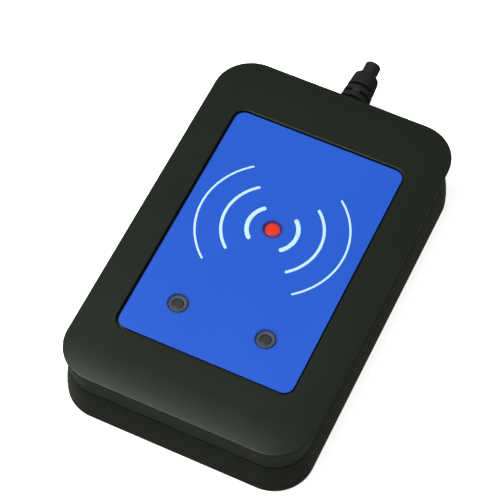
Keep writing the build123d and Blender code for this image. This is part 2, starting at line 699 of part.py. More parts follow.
with BuildPart() as lead_shield:
    with BuildSketch(profile_plane):
        with BuildLine():
            Polyline((core_r, lead_y0), (shield_r, lead_y0), (shield_r, cable_end_y), (core_r, cable_end_y), (core_r, lead_y0))
        make_face()
    revolve(axis=cable_axis)
lead_shield.part.label = "lead_shield"
export_step(lead_shield.part, "parts/lead_shield.step")

with BuildPart() as lead_conductors:
    with BuildSketch(Plane.XZ.offset(-cable_end_y)):
        with Locations((0, cable_z)):
            with PolarLocations(wire_off, 4, start_angle=45):
                Circle(wire_r)
    extrude(amount=cable_end_y - lead_y0)
lead_conductors.part.label = "lead_conductors"
export_step(lead_conductors.part, "parts/lead_conductors.step")

bore_r = cable_r + 0.03
# outside radius of the boot along its length
boot_r = {43.05: 3.78, 47.4: 3.62, 48.25: 3.57, 49.45: 3.50, 50.3: 3.42, 51.6: 3.31, 52.45: 3.24, 54.4: 3.09}


def boot_r_at(y):
    ys = sorted(boot_r)
    for a, b in zip(ys, ys[1:]):
        if a <= y <= b:
            return boot_r[a] + (boot_r[b] - boot_r[a]) * (y - a) / (b - a)
    return boot_r[ys[0]] if y < ys[0] else boot_r[ys[-1]]


def ring_profile(y0, y1):
    return [(bore_r, y0), (boot_r_at(y0), y0), (boot_r_at(y1), y1), (bore_r, y1), (bore_r, y0)]


with BuildPart() as boot_neck:
    with BuildSketch(profile_plane):
        with BuildLine():
            Polyline(
                (bore_r, 39.4), (4.9, 39.4), (4.9, 41.25), (3.3, 41.25), (3.3, boot_seat_y + 0.05),
                (boot_r_at(43.05), boot_seat_y + 0.05), (boot_r_at(47.4), 47.4), (bore_r, 47.4), (bore_r, 39.4),
            )
        make_face()
    revolve(axis=cable_axis)
    # sockets for the first ring's side webs
    with BuildSketch(Plane.YZ.offset(lug_in - 0.1)):
        with Locations((hinge_a, cable_z)):
            Circle(lug_r + lug_clear)
    extrude(amount=3.0, mode=Mode.SUBTRACT)
    with BuildSketch(Plane.YZ.offset(-(lug_in - 0.1))):
        with Locations((hinge_a, cable_z)):
            Circle(lug_r + lug_clear)
    extrude(amount=-3.0, mode=Mode.SUBTRACT)
boot_neck.part.label = "boot_neck"
export_step(boot_neck.part, "parts/boot_neck.step")

with BuildPart() as boot_ring_1:
    # side webs, round about the first slot's hinge axis and trimmed to the boot's outside
    with BuildSketch(Plane.YZ.offset(lug_in)):
        with Locations((hinge_a, cable_z)):
            Circle(lug_r)
    extrude(amount=2.0)
    with BuildSketch(Plane.YZ.offset(-lug_in)):
        with Locations((hinge_a, cable_z)):
            Circle(lug_r)
    extrude(amount=-2.0)
    with BuildSketch(profile_plane):
        with BuildLine():
            Polyline(*ring_profile(46.5, 49.2))
        make_face()
    revolve(axis=cable_axis, mode=Mode.INTERSECT)
    with BuildSketch(profile_plane):
        with BuildLine():
            Polyline(*ring_profile(hinge_a + slot_w / 2, hinge_b - slot_w / 2))
        make_face()
    revolve(axis=cable_axis)
    # sockets for the second ring's top and bottom webs
    with BuildSketch(Plane.XY.offset(cable_z + lug_in - 0.1)):
        with Locations((0, hinge_b)):
            Circle(lug_r + lug_clear)
    extrude(amount=3.0, mode=Mode.SUBTRACT)
    with BuildSketch(Plane.XY.offset(cable_z - (lug_in - 0.1))):
        with Locations((0, hinge_b)):
            Circle(lug_r + lug_clear)
    extrude(amount=-3.0, mode=Mode.SUBTRACT)
boot_ring_1.part.label = "boot_ring_1"
export_step(boot_ring_1.part, "parts/boot_ring_1.step")

with BuildPart() as boot_ring_2:
    with BuildSketch(Plane.XY.offset(cable_z + lug_in)):
        with Locations((0, hinge_b)):
            Circle(lug_r)
    extrude(amount=2.0)
    with BuildSketch(Plane.XY.offset(cable_z - lug_in)):
        with Locations((0, hinge_b)):
            Circle(lug_r)
    extrude(amount=-2.0)
    with BuildSketch(profile_plane):
        with BuildLine():
            Polyline(*ring_profile(48.5, 51.2))
        make_face()
    revolve(axis=cable_axis, mode=Mode.INTERSECT)
    with BuildSketch(profile_plane):
        with BuildLine():
            Polyline(*ring_profile(hinge_b + slot_w / 2, hinge_c - slot_w / 2))
        make_face()
    revolve(axis=cable_axis)
    # sockets for the tip's side webs
    with BuildSketch(Plane.YZ.offset(lug_in - 0.1)):
        with Locations((hinge_c, cable_z)):
            Circle(lug_r + lug_clear)
    extrude(amount=3.0, mode=Mode.SUBTRACT)
    with BuildSketch(Plane.YZ.offset(-(lug_in - 0.1))):
        with Locations((hinge_c, cable_z)):
            Circle(lug_r + lug_clear)
    extrude(amount=-3.0, mode=Mode.SUBTRACT)
boot_ring_2.part.label = "boot_ring_2"
export_step(boot_ring_2.part, "parts/boot_ring_2.step")

with BuildPart() as boot_tip:
    with BuildSketch(Plane.YZ.offset(lug_in)):
        with Locations((hinge_c, cable_z)):
            Circle(lug_r)
    extrude(amount=2.0)
    with BuildSketch(Plane.YZ.offset(-lug_in)):
        with Locations((hinge_c, cable_z)):
            Circle(lug_r)
    extrude(amount=-2.0)
    with BuildSketch(profile_plane):
        with BuildLine():
            Polyline(*ring_profile(50.5, 53.6))
        make_face()
    revolve(axis=cable_axis, mode=Mode.INTERSECT)
    with BuildSketch(profile_plane):
        with BuildLine():
            Polyline((2.35, boot_tip_y), (gripped_r + 0.03, boot_tip_y), (gripped_r + 0.03, hinge_c + slot_w / 2), (boot_r_at(52.45), hinge_c + slot_w / 2), (3.09, 54.4), (3.0, 55.5))
            Spline((3.0, 55.5), (2.84, 56.14), (2.35, boot_tip_y), tangents=((-0.05, 1), (-1, 0.06)))
        make_face()
    revolve(axis=cable_axis)
boot_tip.part.label = "boot_tip"
export_step(boot_tip.part, "parts/boot_tip.step")
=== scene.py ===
import json
import math
import random

import bmesh
import bpy
import numpy as np
from mathutils import Matrix, Vector

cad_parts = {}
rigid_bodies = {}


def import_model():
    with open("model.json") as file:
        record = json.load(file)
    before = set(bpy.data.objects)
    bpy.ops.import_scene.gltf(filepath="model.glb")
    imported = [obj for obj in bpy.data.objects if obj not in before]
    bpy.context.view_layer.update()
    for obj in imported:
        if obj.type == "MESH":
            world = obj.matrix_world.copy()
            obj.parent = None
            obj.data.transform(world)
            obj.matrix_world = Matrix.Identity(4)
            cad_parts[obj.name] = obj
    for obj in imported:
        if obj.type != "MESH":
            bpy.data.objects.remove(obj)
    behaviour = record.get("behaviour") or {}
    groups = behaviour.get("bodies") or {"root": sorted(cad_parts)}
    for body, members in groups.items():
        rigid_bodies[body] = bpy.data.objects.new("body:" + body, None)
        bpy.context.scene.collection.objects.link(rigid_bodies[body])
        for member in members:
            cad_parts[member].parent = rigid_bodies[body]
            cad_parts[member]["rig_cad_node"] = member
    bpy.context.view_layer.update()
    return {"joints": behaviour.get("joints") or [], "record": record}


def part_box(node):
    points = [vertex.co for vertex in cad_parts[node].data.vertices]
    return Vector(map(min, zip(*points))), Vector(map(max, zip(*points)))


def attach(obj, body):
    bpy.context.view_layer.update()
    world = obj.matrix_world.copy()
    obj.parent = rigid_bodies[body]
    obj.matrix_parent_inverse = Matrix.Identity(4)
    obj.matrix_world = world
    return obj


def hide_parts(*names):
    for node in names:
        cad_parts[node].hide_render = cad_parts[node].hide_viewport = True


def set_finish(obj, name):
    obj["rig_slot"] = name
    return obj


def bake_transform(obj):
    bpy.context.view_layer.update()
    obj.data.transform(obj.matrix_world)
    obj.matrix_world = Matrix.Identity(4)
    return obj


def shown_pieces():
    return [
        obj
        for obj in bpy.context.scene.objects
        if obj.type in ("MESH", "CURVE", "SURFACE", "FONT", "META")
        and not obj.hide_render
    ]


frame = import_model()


random.seed(7)
MM = 0.001

# ------------------------------------------------------------------ sizes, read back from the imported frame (mm)
def mm_box(node):
    lo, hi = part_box(node)
    return [c / MM for c in lo], [c / MM for c in hi]


cov_lo, cov_hi = mm_box("top_cover")
bot_lo, bot_hi = mm_box("bottom_shell")
ovl_lo, ovl_hi = mm_box("front_overlay")
tip_lo, tip_hi = mm_box("boot_tip")
lead_lo, lead_hi = mm_box("cable_lead")
W = cov_hi[0] - cov_lo[0]
L = cov_hi[1] - cov_lo[1]
CORNER = 8.8
WALL = 2.7
COVER_Z0 = cov_lo[2]                 # bottom edge of the cover
CROWN_Z = cov_hi[2]
RIM_Z = CROWN_Z - 0.45
RIM_H = 0.55
CROWN_IN = 8.5
CEIL_Z = 15.0
PART_Z = 9.1
WAIST = 0.90
OV_W, OV_L = ovl_hi[0] - ovl_lo[0], ovl_hi[1] - ovl_lo[1]
OV_X, OV_Y = (ovl_hi[0] + ovl_lo[0]) / 2, (ovl_hi[1] + ovl_lo[1]) / 2
OV_Z0, OV_Z1 = ovl_lo[2], ovl_hi[2]
OV_R = 2.2
RECESS_W, RECESS_L, RECESS_R, RECESS_Y = 40.5, 60.9, 2.65, 0.12
SEAT_W, SEAT_L, SEAT_R = 39.2, 59.6, 2.0
MOAT_Z = 15.9
LAMP_Y = sum(c[1] for c in mm_box("centre_light_pipe")) / 2
WIN = [sum(c[0] for c in mm_box("right_light_pipe")) / 2, sum(c[1] for c in mm_box("right_light_pipe")) / 2]
LAMP_HOLE, WIN_HOLE = 2.15, 2.3
BOSS = (20.6, 36.6)
AX_Z = (lead_lo[2] + lead_hi[2]) / 2  # cable axis height
HINGE = [j["pos_m"][1] / MM for j in frame["joints"]]
CABLE_R = (lead_hi[0] - lead_lo[0]) / 2
SEAT_Y = 43.0


# ------------------------------------------------------------------ mesh helpers
def link(obj):
    bpy.context.scene.collection.objects.link(obj)
    return obj


def mesh_object(name, bm):
    bmesh.ops.recalc_face_normals(bm, faces=bm.faces)
    for f in bm.faces:
        f.smooth = True
    me = bpy.data.meshes.new(name)
    bm.to_mesh(me)
    bm.free()
    return link(bpy.data.objects.new(name, me))


def rrect(w, l, r, cy=0.0, na=18, nx=8, ny=14):
    """Rounded rectangle, anticlockwise, always the same number of points."""
    pts = []
    hx, hy = w / 2 - r, l / 2 - r
    corners = [(hx, hy, 0, nx), (-hx, hy, 90, ny), (-hx, -hy, 180, nx), (hx, -hy, 270, ny)]
    for i, (cx, c_y, a0, n) in enumerate(corners):
        arc = [(cx + r * math.cos(math.radians(a0 + 90 * k / na)), c_y + r * math.sin(math.radians(a0 + 90 * k / na))) for k in range(na + 1)]
        pts += arc
        nx_c = corners[(i + 1) % 4]
        a1 = math.radians(nx_c[2])
        end = (nx_c[0] + r * math.cos(a1), nx_c[1] + r * math.sin(a1))
        last = arc[-1]
        pts += [(last[0] + (end[0] - last[0]) * k / n, last[1] + (end[1] - last[1]) * k / n) for k in range(1, n)]
    return [(x, y + cy) for x, y in pts]


def case_ring(inset, z):
    return [(x, y, z) for x, y in rrect(W - 2 * inset, L - 2 * inset, CORNER - inset)]


def rings_mesh(name, rings, caps=(True, True), closed=False):
    bm = bmesh.new()
    rows = [[bm.verts.new((x * MM, y * MM, z * MM)) for x, y, z in ring] for ring in rings]
    n = len(rows[0])
    pairs = list(zip(rows, rows[1:]))
    if closed:
        pairs.append((rows[-1], rows[0]))
    for a, b in pairs:
        for k in range(n):
            bm.faces.new((a[k], a[(k + 1) % n], b[(k + 1) % n], b[k]))
    if not closed:
        if caps[0]:
            bm.faces.new(list(reversed(rows[0])))
        if caps[1]:
            bm.faces.new(rows[-1])
    return mesh_object(name, bm)


def revolve_mesh(name, profile, centre, axis="Z", seg=64, closed=True):
    """Turns (radius, height) points about an axis through centre. A closed profile makes a tube or ring; points on the axis are merged."""
    bm = bmesh.new()
    rows = []
    for k in range(seg):
        a = 2 * math.pi * k / seg
        row = []
        for r, h in profile:
            if axis == "Z":
                p = (centre[0] + r * math.cos(a), centre[1] + r * math.sin(a), centre[2] + h)
            else:
                p = (centre[0] + r * math.cos(a), centre[1] + h, centre[2] + r * math.sin(a))
            row.append(bm.verts.new([c * MM for c in p]))
        rows.append(row)
    m = len(profile)
    spans = range(m) if closed else range(m - 1)
    for k in range(seg):
        a, b = rows[k], rows[(k + 1) % seg]
        for i in spans:
            j = (i + 1) % m
            if profile[i][0] < 1e-9 and profile[j][0] < 1e-9:
                continue
            bm.faces.new((a[i], b[i], b[j], a[j]))
    bmesh.ops.remove_doubles(bm, verts=bm.verts, dist=1e-7)
    bmesh.ops.dissolve_degenerate(bm, edges=bm.edges, dist=1e-8)
    return mesh_object(name, bm)


def joined(name, objs):
    bm = bmesh.new()
    for o in objs:
        bm.from_mesh(o.data)
        me = o.data
        bpy.data.objects.remove(o)
        bpy.data.meshes.remove(me)
    return mesh_object(name, bm)


def boolean(obj, tool, op):
    m = obj.modifiers.new("b", "BOOLEAN")
    m.operation = op
    m.solver = "EXACT"
    m.object = tool
    bpy.context.view_layer.update()
    dg = bpy.context.evaluated_depsgraph_get()
    me = bpy.data.meshes.new_from_object(obj.evaluated_get(dg))
    obj.modifiers.clear()
    old = obj.data
    obj.data = me
    me.name = obj.name
    bpy.data.meshes.remove(old)
    tool_mesh = tool.data
    bpy.data.objects.remove(tool)
    bpy.data.meshes.remove(tool_mesh)
    return obj


def tidy(obj, angle=32, weighted=True):
    bm = bmesh.new()
    bm.from_mesh(obj.data)
    bmesh.ops.remove_doubles(bm, verts=bm.verts, dist=2e-7)
    bmesh.ops.dissolve_degenerate(bm, edges=bm.edges, dist=1e-7)
    bmesh.ops.recalc_face_normals(bm, faces=bm.faces)
    for f in bm.faces:
        f.smooth = True
    bm.to_mesh(obj.data)
    bm.free()
    obj.data.set_sharp_from_angle(angle=math.radians(angle))
    if weighted:
        w = obj.modifiers.new("weighted", "WEIGHTED_NORMAL")
        w.keep_sharp = True
        w.weight = 80
    return obj


def pchip(points, x):
    """Monotone cubic through (x, y) points."""
    xs = [p[0] for p in points]
    ys = [p[1] for p in points]
    h = [b - a for a, b in zip(xs, xs[1:])]
    s = [(b - a) / d for a, b, d in zip(ys, ys[1:], h)]
    m = [s[0]] + [0 if s[i] * s[i + 1] <= 0 else 2 * s[i] * s[i + 1] / (s[i] + s[i + 1]) for i in range(len(s) - 1)] + [s[-1]]
    i = max(0, min(len(h) - 1, next((k - 1 for k in range(1, len(xs)) if x <= xs[k]), len(h) - 1)))
    t = (x - xs[i]) / h[i]
    return (2 * t**3 - 3 * t**2 + 1) * ys[i] + (t**3 - 2 * t**2 + t) * h[i] * m[i] + (-2 * t**3 + 3 * t**2) * ys[i + 1] + (t**3 - t**2) * h[i] * m[i + 1]


def rounded(points, radii, steps=5):
    """Rounds the corners of an open polyline of (a, b) points by the given radii."""
    out = [points[0]]
    for i in range(1, len(points) - 1):
        p, a, b, r = Vector(points[i]), Vector(points[i - 1]), Vector(points[i + 1]), radii[i]
        if r <= 0:
            out.append(tuple(p))
            continue
        u, v = (a - p), (b - p)
        k = min(r, u.length * 0.49, v.length * 0.49)
        s, e = p + u.normalized() * k, p + v.normalized() * k
        for q in range(steps + 1):
            t = q / steps
            pt = s * (1 - t) ** 2 + p * 2 * t * (1 - t) + e * t * t
            out.append(tuple(pt))
    out.append(points[-1])
    return out


def inset_depth(x, y):
    """How far inside the widest contour a plan point lies."""
    qx, qy = abs(x) - (W / 2 - CORNER), abs(y) - (L / 2 - CORNER)
    return -(math.hypot(max(qx, 0), max(qy, 0)) + min(max(qx, qy), 0) - CORNER)


def crown_z(d):
    t = min(max(d / CROWN_IN, 0), 1)
    return RIM_Z + (CROWN_Z - RIM_Z) * (1 - (1 - t) ** 2.3)


# ------------------------------------------------------------------ top cover
def cover_inset(z):
    return pchip([(COVER_Z0, WAIST), (11.4, 0.80), (13.8, 0.56), (RIM_Z - RIM_H, 0.32)], z)


cover_path = [(WALL, CEIL_Z - 0.6)]
rings = []
# ceiling edge down the inner wall
for k in range(6):
    a = math.pi / 2 * (1 - k / 5)
    rings.append(case_ring(WALL + 0.6 - 0.6 * math.cos(a), CEIL_Z - 0.6 + 0.6 * math.sin(a)))
for z in (14.0, 12.5, 11.2, 10.40):
    rings.append(case_ring(WALL, z))
prof = rounded(
    [(WALL, 10.38), (WALL, 10.35), (1.75, 10.35), (1.75, COVER_Z0), (WAIST, COVER_Z0), (cover_inset(COVER_Z0 + 0.45), COVER_Z0 + 0.45)],
    [0, 0.02, 0.08, 0.10, 0.20, 0],
    5,
)
rings += [case_ring(i, z) for i, z in prof[1:]]
z = COVER_Z0 + 0.45
top_of_wall = RIM_Z - RIM_H - 0.12
for k in range(1, 19):
    zz = z + (top_of_wall - z) * k / 18
    rings.append(case_ring(cover_inset(zz), zz))
prof = rounded(
    [(cover_inset(top_of_wall), top_of_wall), (0.32, RIM_Z - RIM_H), (0.0, RIM_Z - RIM_H), (0.0, crown_z(0.0)), (0.42, crown_z(0.42))],
    [0, 0.07, 0.13, 0.15, 0],
    6,
)
rings += [case_ring(i, z) for i, z in prof[1:]]
# crowned top: from the rim to the edge of the overlay recess
lip = 0.20
outer = [(x, y) for x, y, _ in case_ring(0.42, 0)]
inner = rrect(RECESS_W + 2 * lip, RECESS_L + 2 * lip, RECESS_R + lip, RECESS_Y)
steps = 30
for k in range(1, steps + 1):
    s = (k / steps) ** 1.12
    ring = []
    for (xo, yo), (xi, yi) in zip(outer, inner):
        x, y = xo + (xi - xo) * s, yo + (yi - yo) * s
        ring.append((x, y, crown_z(inset_depth(x, y))))
    rings.append(ring)
# rounded lip and wall of the recess
for k in range(1, 6):
    a = math.pi / 2 * k / 5
    g = lip - lip * math.sin(a)
    ring = []
    for x, y in rrect(RECESS_W + 2 * g, RECESS_L + 2 * g, RECESS_R + g, RECESS_Y):
        ring.append((x, y, crown_z(inset_depth(x, y)) - lip * (1 - math.cos(a))))
    rings.append(ring)
# the wall runs down into a groove round the seat, and back up to the seat itself
for g, z in ((0, OV_Z0 + 0.06), (0, OV_Z0 - 0.3), (0, MOAT_Z + 0.08), (-0.02, MOAT_Z + 0.02), (-0.08, MOAT_Z)):
    rings.append([(x, y, z) for x, y in rrect(RECESS_W + 2 * g, RECESS_L + 2 * g, RECESS_R + g, RECESS_Y)])
for g, z in ((0.08, MOAT_Z), (0.02, MOAT_Z + 0.02), (0, MOAT_Z + 0.08), (0, OV_Z0 - 0.05), (-0.015, OV_Z0 - 0.015), (-0.05, OV_Z0)):
    rings.append([(x, y, z) for x, y in rrect(SEAT_W + 2 * g, SEAT_L + 2 * g, SEAT_R + g, OV_Y)])
cover = rings_mesh("case_cover", rings)

tools = []
for sx in (-1, 1):
    for sy in (-1, 1):
        tools.append(revolve_mesh("t", rounded([(1.13, 13.5), (1.13, 9.5), (1.5, 9.1), (2.7, 9.1), (2.85, 9.4), (2.9, 15.3), (0.0, 15.3), (0.0, 13.5), (1.13, 13.5)], [0, 0, 0, 0.1, 0.1, 0, 0, 0, 0])[:-1], (sx * BOSS[0], sy * BOSS[1], 0), seg=40))
boolean(cover, joined("bosses", tools), "UNION")
tools = [revolve_mesh("t", [(2.9, 11.0), (3.6, 11.0), (3.65, 15.3), (2.9, 15.3)], (0, LAMP_Y, 0), seg=48)]
for sx in (-1, 1):
    tools.append(revolve_mesh("t", [(3.3, 11.0), (4.1, 11.0), (4.15, 15.3), (3.3, 15.3)], (sx * WIN[0], WIN[1], 0), seg=48))
boolean(cover, joined("sleeves", tools), "UNION")
tools = [revolve_mesh("t", [(0, 14.2), (1.70, 14.2), (1.70, 16.48), (1.77, 16.62), (0, 16.62)], (0, LAMP_Y, 0), seg=64, closed=False)]
for sx in (-1, 1):
    tools.append(revolve_mesh("t", [(0, 14.2), (2.07, 14.2), (2.07, 16.50), (2.13, 16.62), (0, 16.62)], (sx * WIN[0], WIN[1], 0), seg=64, closed=False))
boolean(cover, joined("holes", tools), "DIFFERENCE")
arch = [(0, 40.0), (3.35, 40.0), (3.35, SEAT_Y - 0.02), (3.95, SEAT_Y), (3.95, 43.25), (4.25, 44.3), (0, 44.3)]
boolean(cover, revolve_mesh("arch", arch, (0, 0, AX_Z), "Y", 72, closed=False), "DIFFERENCE")
tidy(cover)
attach(cover, "case")
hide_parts("top_cover")
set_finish(cover, "case_plastic")

# ------------------------------------------------------------------ bottom shell
def base_inset(z):
    return pchip([(0.45, 0.0), (1.5, 0.004), (3.5, 0.09), (5.5, 0.27), (7.4, 0.55), (PART_Z, WAIST)], z)


rings = []
for k in range(6):
    a = math.pi / 2 * k / 5
    rings.append(case_ring(WALL + 0.8 - 0.8 * math.sin(a), 1.8 + 0.8 - 0.8 * math.cos(a)))
for z in (4.5, 6.5, 8.5):
    rings.append(case_ring(WALL, z))
prof = rounded(
    [(WALL, 9.5), (WALL, PART_Z + 1.15), (1.85, PART_Z + 1.15), (1.85, PART_Z), (WAIST, PART_Z), (base_inset(PART_Z - 0.45), PART_Z - 0.45)],
    [0, 0.15, 0.15, 0.08, 0.22, 0],
    5,
)
rings += [case_ring(i, z) for i, z in prof]
z0 = PART_Z - 0.45
for k in range(1, 29):
    zz = z0 + (0.55 - z0) * k / 28
    rings.append(case_ring(base_inset(zz), zz))
prof = rounded([(0.0, 0.55), (0.0, 0.0), (0.9, 0.0)], [0, 0.46, 0], 8)
rings += [case_ring(i, z) for i, z in prof[1:]]
base = rings_mesh("case_base", rings)

tools = []
for sx in (-1, 1):
    for sy in (-1, 1):
        tools.append(revolve_mesh("t", [(0, 1.5), (3.45, 1.5), (3.35, 2.2), (3.3, 9.0), (3.2, 9.1), (0, 9.1)], (sx * BOSS[0], sy * BOSS[1], 0), seg=40, closed=False))
        tools.append(revolve_mesh("t", [(0, 1.5), (2.5, 1.5), (2.35, 2.2), (2.3, 4.4), (0, 4.4)], (sx * 20.0, sy * 27.0, 0), seg=32, closed=False))
boolean(base, joined("towers", tools), "UNION")


def bar(x0, x1, y0, y1, z0, z1):
    bm = bmesh.new()
    bmesh.ops.create_cube(bm, size=1.0, matrix=Matrix.Translation(((x0 + x1) / 2 * MM, (y0 + y1) / 2 * MM, (z0 + z1) / 2 * MM)) @ Matrix.Diagonal(((x1 - x0) * MM, (y1 - y0) * MM, (z1 - z0) * MM, 1)))
    return mesh_object("bar", bm)


ribs = [bar(-19, 19, -12.5, -11.5, 1.6, 3.0), bar(-19, 19, 11.5, 12.5, 1.6, 3.0)]
boolean(base, joined("ribs", ribs), "UNION")
ribs = [bar(-12.5, -11.5, -23, 23, 1.6, 2.98), bar(11.5, 12.5, -23, 23, 1.6, 2.98)]
boolean(base, joined("ribs2", ribs), "UNION")
tools = []
for sx in (-1, 1):
    for sy in (-1, 1):
        # pocket for the foot, well for the screw head, hole for the shank, each with a softened mouth
        tools.append(revolve_mesh("t", [(0, -0.2), (4.64, -0.2), (4.5, 0.10), (4.5, 0.5), (2.42, 0.5), (2.35, 0.62), (2.35, 3.2), (1.3, 3.2), (1.3, 9.4), (0, 9.4)], (sx * BOSS[0], sy * BOSS[1], 0), seg=64, closed=False))
        tools.append(revolve_mesh("t", [(0, 1.9), (0.83, 1.9), (0.83, 4.6), (0, 4.6)], (sx * 20.0, sy * 27.0, 0), seg=24, closed=False))
boolean(base, joined("wells", tools), "DIFFERENCE")
recess = rings_mesh("recess", [[(x, y, z) for x, y in rrect(34.4 + g, 20.4 + g, 1.2 + g / 2, 17.0, 6, 2, 2)] for g, z in ((0.0, 0.15), (0.0, 0.05), (0.16, -0.04), (0.16, -0.2))])
boolean(base, recess, "DIFFERENCE")
boolean(base, revolve_mesh("notch", arch, (0, 0, AX_Z), "Y", 72, closed=False), "DIFFERENCE")
tidy(base)
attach(base, "case")
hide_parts("bottom_shell")
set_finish(base, "case_plastic")

# ------------------------------------------------------------------ overlay film and printed arcs
def film_ring(inset, z):
    return [(x + OV_X, y, z) for x, y in rrect(OV_W - 2 * inset, OV_L - 2 * inset, OV_R - inset, OV_Y)]


film = rings_mesh("overlay_film", [film_ring(i, z) for i, z in rounded([(0.06, OV_Z0), (0.0, OV_Z0 + 0.03), (0.0, OV_Z1), (0.5, OV_Z1 + 0.0)], [0, 0.02, 0.085, 0], 5)])
tools = [revolve_mesh("t", [(0, 16.3), (LAMP_HOLE, 16.3), (LAMP_HOLE, OV_Z1 - 0.05), (LAMP_HOLE + 0.02, OV_Z1 - 0.02), (LAMP_HOLE + 0.07, OV_Z1 + 0.01), (LAMP_HOLE + 0.2, OV_Z1 + 0.2), (0, OV_Z1 + 0.2)], (0, LAMP_Y, 0), seg=96, closed=False)]
for sx in (-1, 1):
    tools.append(revolve_mesh("t", [(0, 16.3), (WIN_HOLE, 16.3), (WIN_HOLE, OV_Z1 - 0.05), (WIN_HOLE + 0.02, OV_Z1 - 0.02), (WIN_HOLE + 0.07, OV_Z1 + 0.01), (WIN_HOLE + 0.2, OV_Z1 + 0.2), (0, OV_Z1 + 0.2)], (sx * WIN[0], WIN[1], 0), seg=96, closed=False))
boolean(film, joined("film_holes", tools), "DIFFERENCE")
tidy(film, 28)
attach(film, "case")
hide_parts("front_overlay")
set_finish(film, "overlay_blue")


def arc_outline(r, w, mid, half, inset, n=72, ncap=16):
    h = w / 2 - inset
    a = half - math.degrees(w / 2 / r)
    pts = []
    for k in range(n + 1):
        t = math.radians(mid - a + 2 * a * k / n)
        pts.append(((r + h) * math.cos(t), (r + h) * math.sin(t)))
    t = math.radians(mid + a)
    c = (r * math.cos(t), r * math.sin(t))
    for k in range(1, ncap):
        u = t + math.pi * k / ncap
        pts.append((c[0] + h * math.cos(u), c[1] + h * math.sin(u)))
    for k in range(n + 1):
        q = math.radians(mid + a - 2 * a * k / n)
        pts.append(((r - h) * math.cos(q), (r - h) * math.sin(q)))
    t = math.radians(mid - a)
    c = (r * math.cos(t), r * math.sin(t))
    for k in range(1, ncap):
        u = t + math.pi + math.pi * k / ncap
        pts.append((c[0] + h * math.cos(u), c[1] + h * math.sin(u)))
    return pts


ink = []
for mid in (0, 180):
    for r, w in ((5.51, 0.96), (11.0, 0.66), (16.55, 0.47)):
        ink.append(rings_mesh("ink", [[(x, y + LAMP_Y, z) for x, y in arc_outline(r, w, mid, 51.6, i)] for i, z in ((0.0, OV_Z1 - 0.01), (0.0, OV_Z1 + 0.012), (0.03, OV_Z1 + 0.026), (0.08, OV_Z1 + 0.03))]))
ink = joined("signal_arcs", ink)
tidy(ink, 60, weighted=False)
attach(ink, "case")
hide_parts("printed_arcs")
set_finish(ink, "print_white")

# ------------------------------------------------------------------ indicator, window bezels and light pipes
def dome(r, z_edge, z_top, n=10):
    return [(r * math.cos(math.pi / 2 * k / n), z_edge + (z_top - z_edge) * math.sin(math.pi / 2 * k / n)) for k in range(n + 1)]


lens = revolve_mesh("indicator_lens", [(0, 8.1), (1.6, 8.1), (1.7, 8.2), (1.7, 13.2), (2.75, 13.4), (2.8, 13.45), (2.8, 13.95), (2.75, 14.0), (1.6, 14.0)] + dome(1.6, 16.62, 16.92, 12), (0, LAMP_Y, 0), seg=96, closed=False)
tidy(lens, 40)
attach(lens, "case")
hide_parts("centre_light_pipe")
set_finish(lens, "red_lens")
for side, sx in (("left", -1), ("right", 1)):
    prof = rounded([(1.25, 14.5), (1.25, 12.6), (3.2, 12.6), (3.2, 14.0), (2.0, 14.0), (2.0, 16.72), (1.25, 16.68), (1.25, 14.5)], [0, 0.05, 0.1, 0.1, 0.05, 0.16, 0.08, 0], 6)[:-1]
    bez = revolve_mesh("bezel_" + side, prof, (sx * WIN[0], WIN[1], 0), seg=96)
    tidy(bez, 40)
    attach(bez, "case")
    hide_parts(side + "_window_bezel")
    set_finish(bez, "bezel_grey")
    pipe = revolve_mesh("window_" + side, [(0, 8.1), (2.1, 8.1), (2.2, 8.2), (2.2, 12.4), (2.1, 12.5), (1.22, 12.5)] + dome(1.22, 16.48, 16.62, 10), (sx * WIN[0], WIN[1], 0), seg=80, closed=False)
    tidy(pipe, 40)
    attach(pipe, "case")
    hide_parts(side + "_light_pipe")
    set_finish(pipe, "smoked_lens")

# ------------------------------------------------------------------ feet and rating label
feet = []
for sx in (-1, 1):
    for sy in (-1, 1):
        feet.append(revolve_mesh("f", [(0, 0.5), (4.2, 0.5), (4.3, 0.4), (4.3, -0.35), (4.24, -0.62), (4.08, -0.80), (3.8, -0.89), (3.4, -0.90), (3.2, -0.86), (3.05, -0.78), (2.4, -0.76), (0, -0.75)], (sx * BOSS[0], sy * BOSS[1], 0), seg=72, closed=False))
feet = joined("feet_rubber", feet)
tidy(feet, 50)
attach(feet, "case")
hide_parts("rubber_feet")
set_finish(feet, "foot_rubber")

plate = rings_mesh("label_blank", [[(x, y, z) for x, y in rrect(34.0 - 2 * i, 20.0 - 2 * i, 1.0 - i, 17.0)] for i, z in ((0.0, 0.15), (0.0, 0.075), (0.02, 0.055), (0.06, 0.05))])
tidy(plate, 50)
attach(plate, "case")
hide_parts("rating_label")
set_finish(plate, "label_film")

# ------------------------------------------------------------------ strain relief
BOOT_R = [(43.05, 3.78), (47.4, 3.62), (48.25, 3.57), (49.45, 3.50), (50.3, 3.42), (51.6, 3.31), (52.45, 3.24), (54.4, 3.09)]
BORE = CABLE_R + 0.03
SLOT = 0.425


def boot_r(y):
    return pchip(BOOT_R, y)


def boot_part(name, y0, y1, body, node, extra=None):
    """One turned length of the boot, its slot edges softened."""
    n = 8
    skin = [(boot_r(y0 + (y1 - y0) * k / n), y0 + (y1 - y0) * k / n) for k in range(n + 1)]
    prof = rounded([(BORE, (y0 + y1) / 2), (BORE, y0), skin[0]] + skin[1:] + [(BORE, y1), (BORE, (y0 + y1) / 2)], [0, 0.08, 0.2] + [0] * (n - 1) + [0.2, 0.08, 0], 5)[:-1]
    o = revolve_mesh(name, prof, (0, 0, AX_Z), "Y", 96)
    tidy(o, 50)
    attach(o, body)
    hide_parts(node)
    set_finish(o, "boot_rubber")
    return o


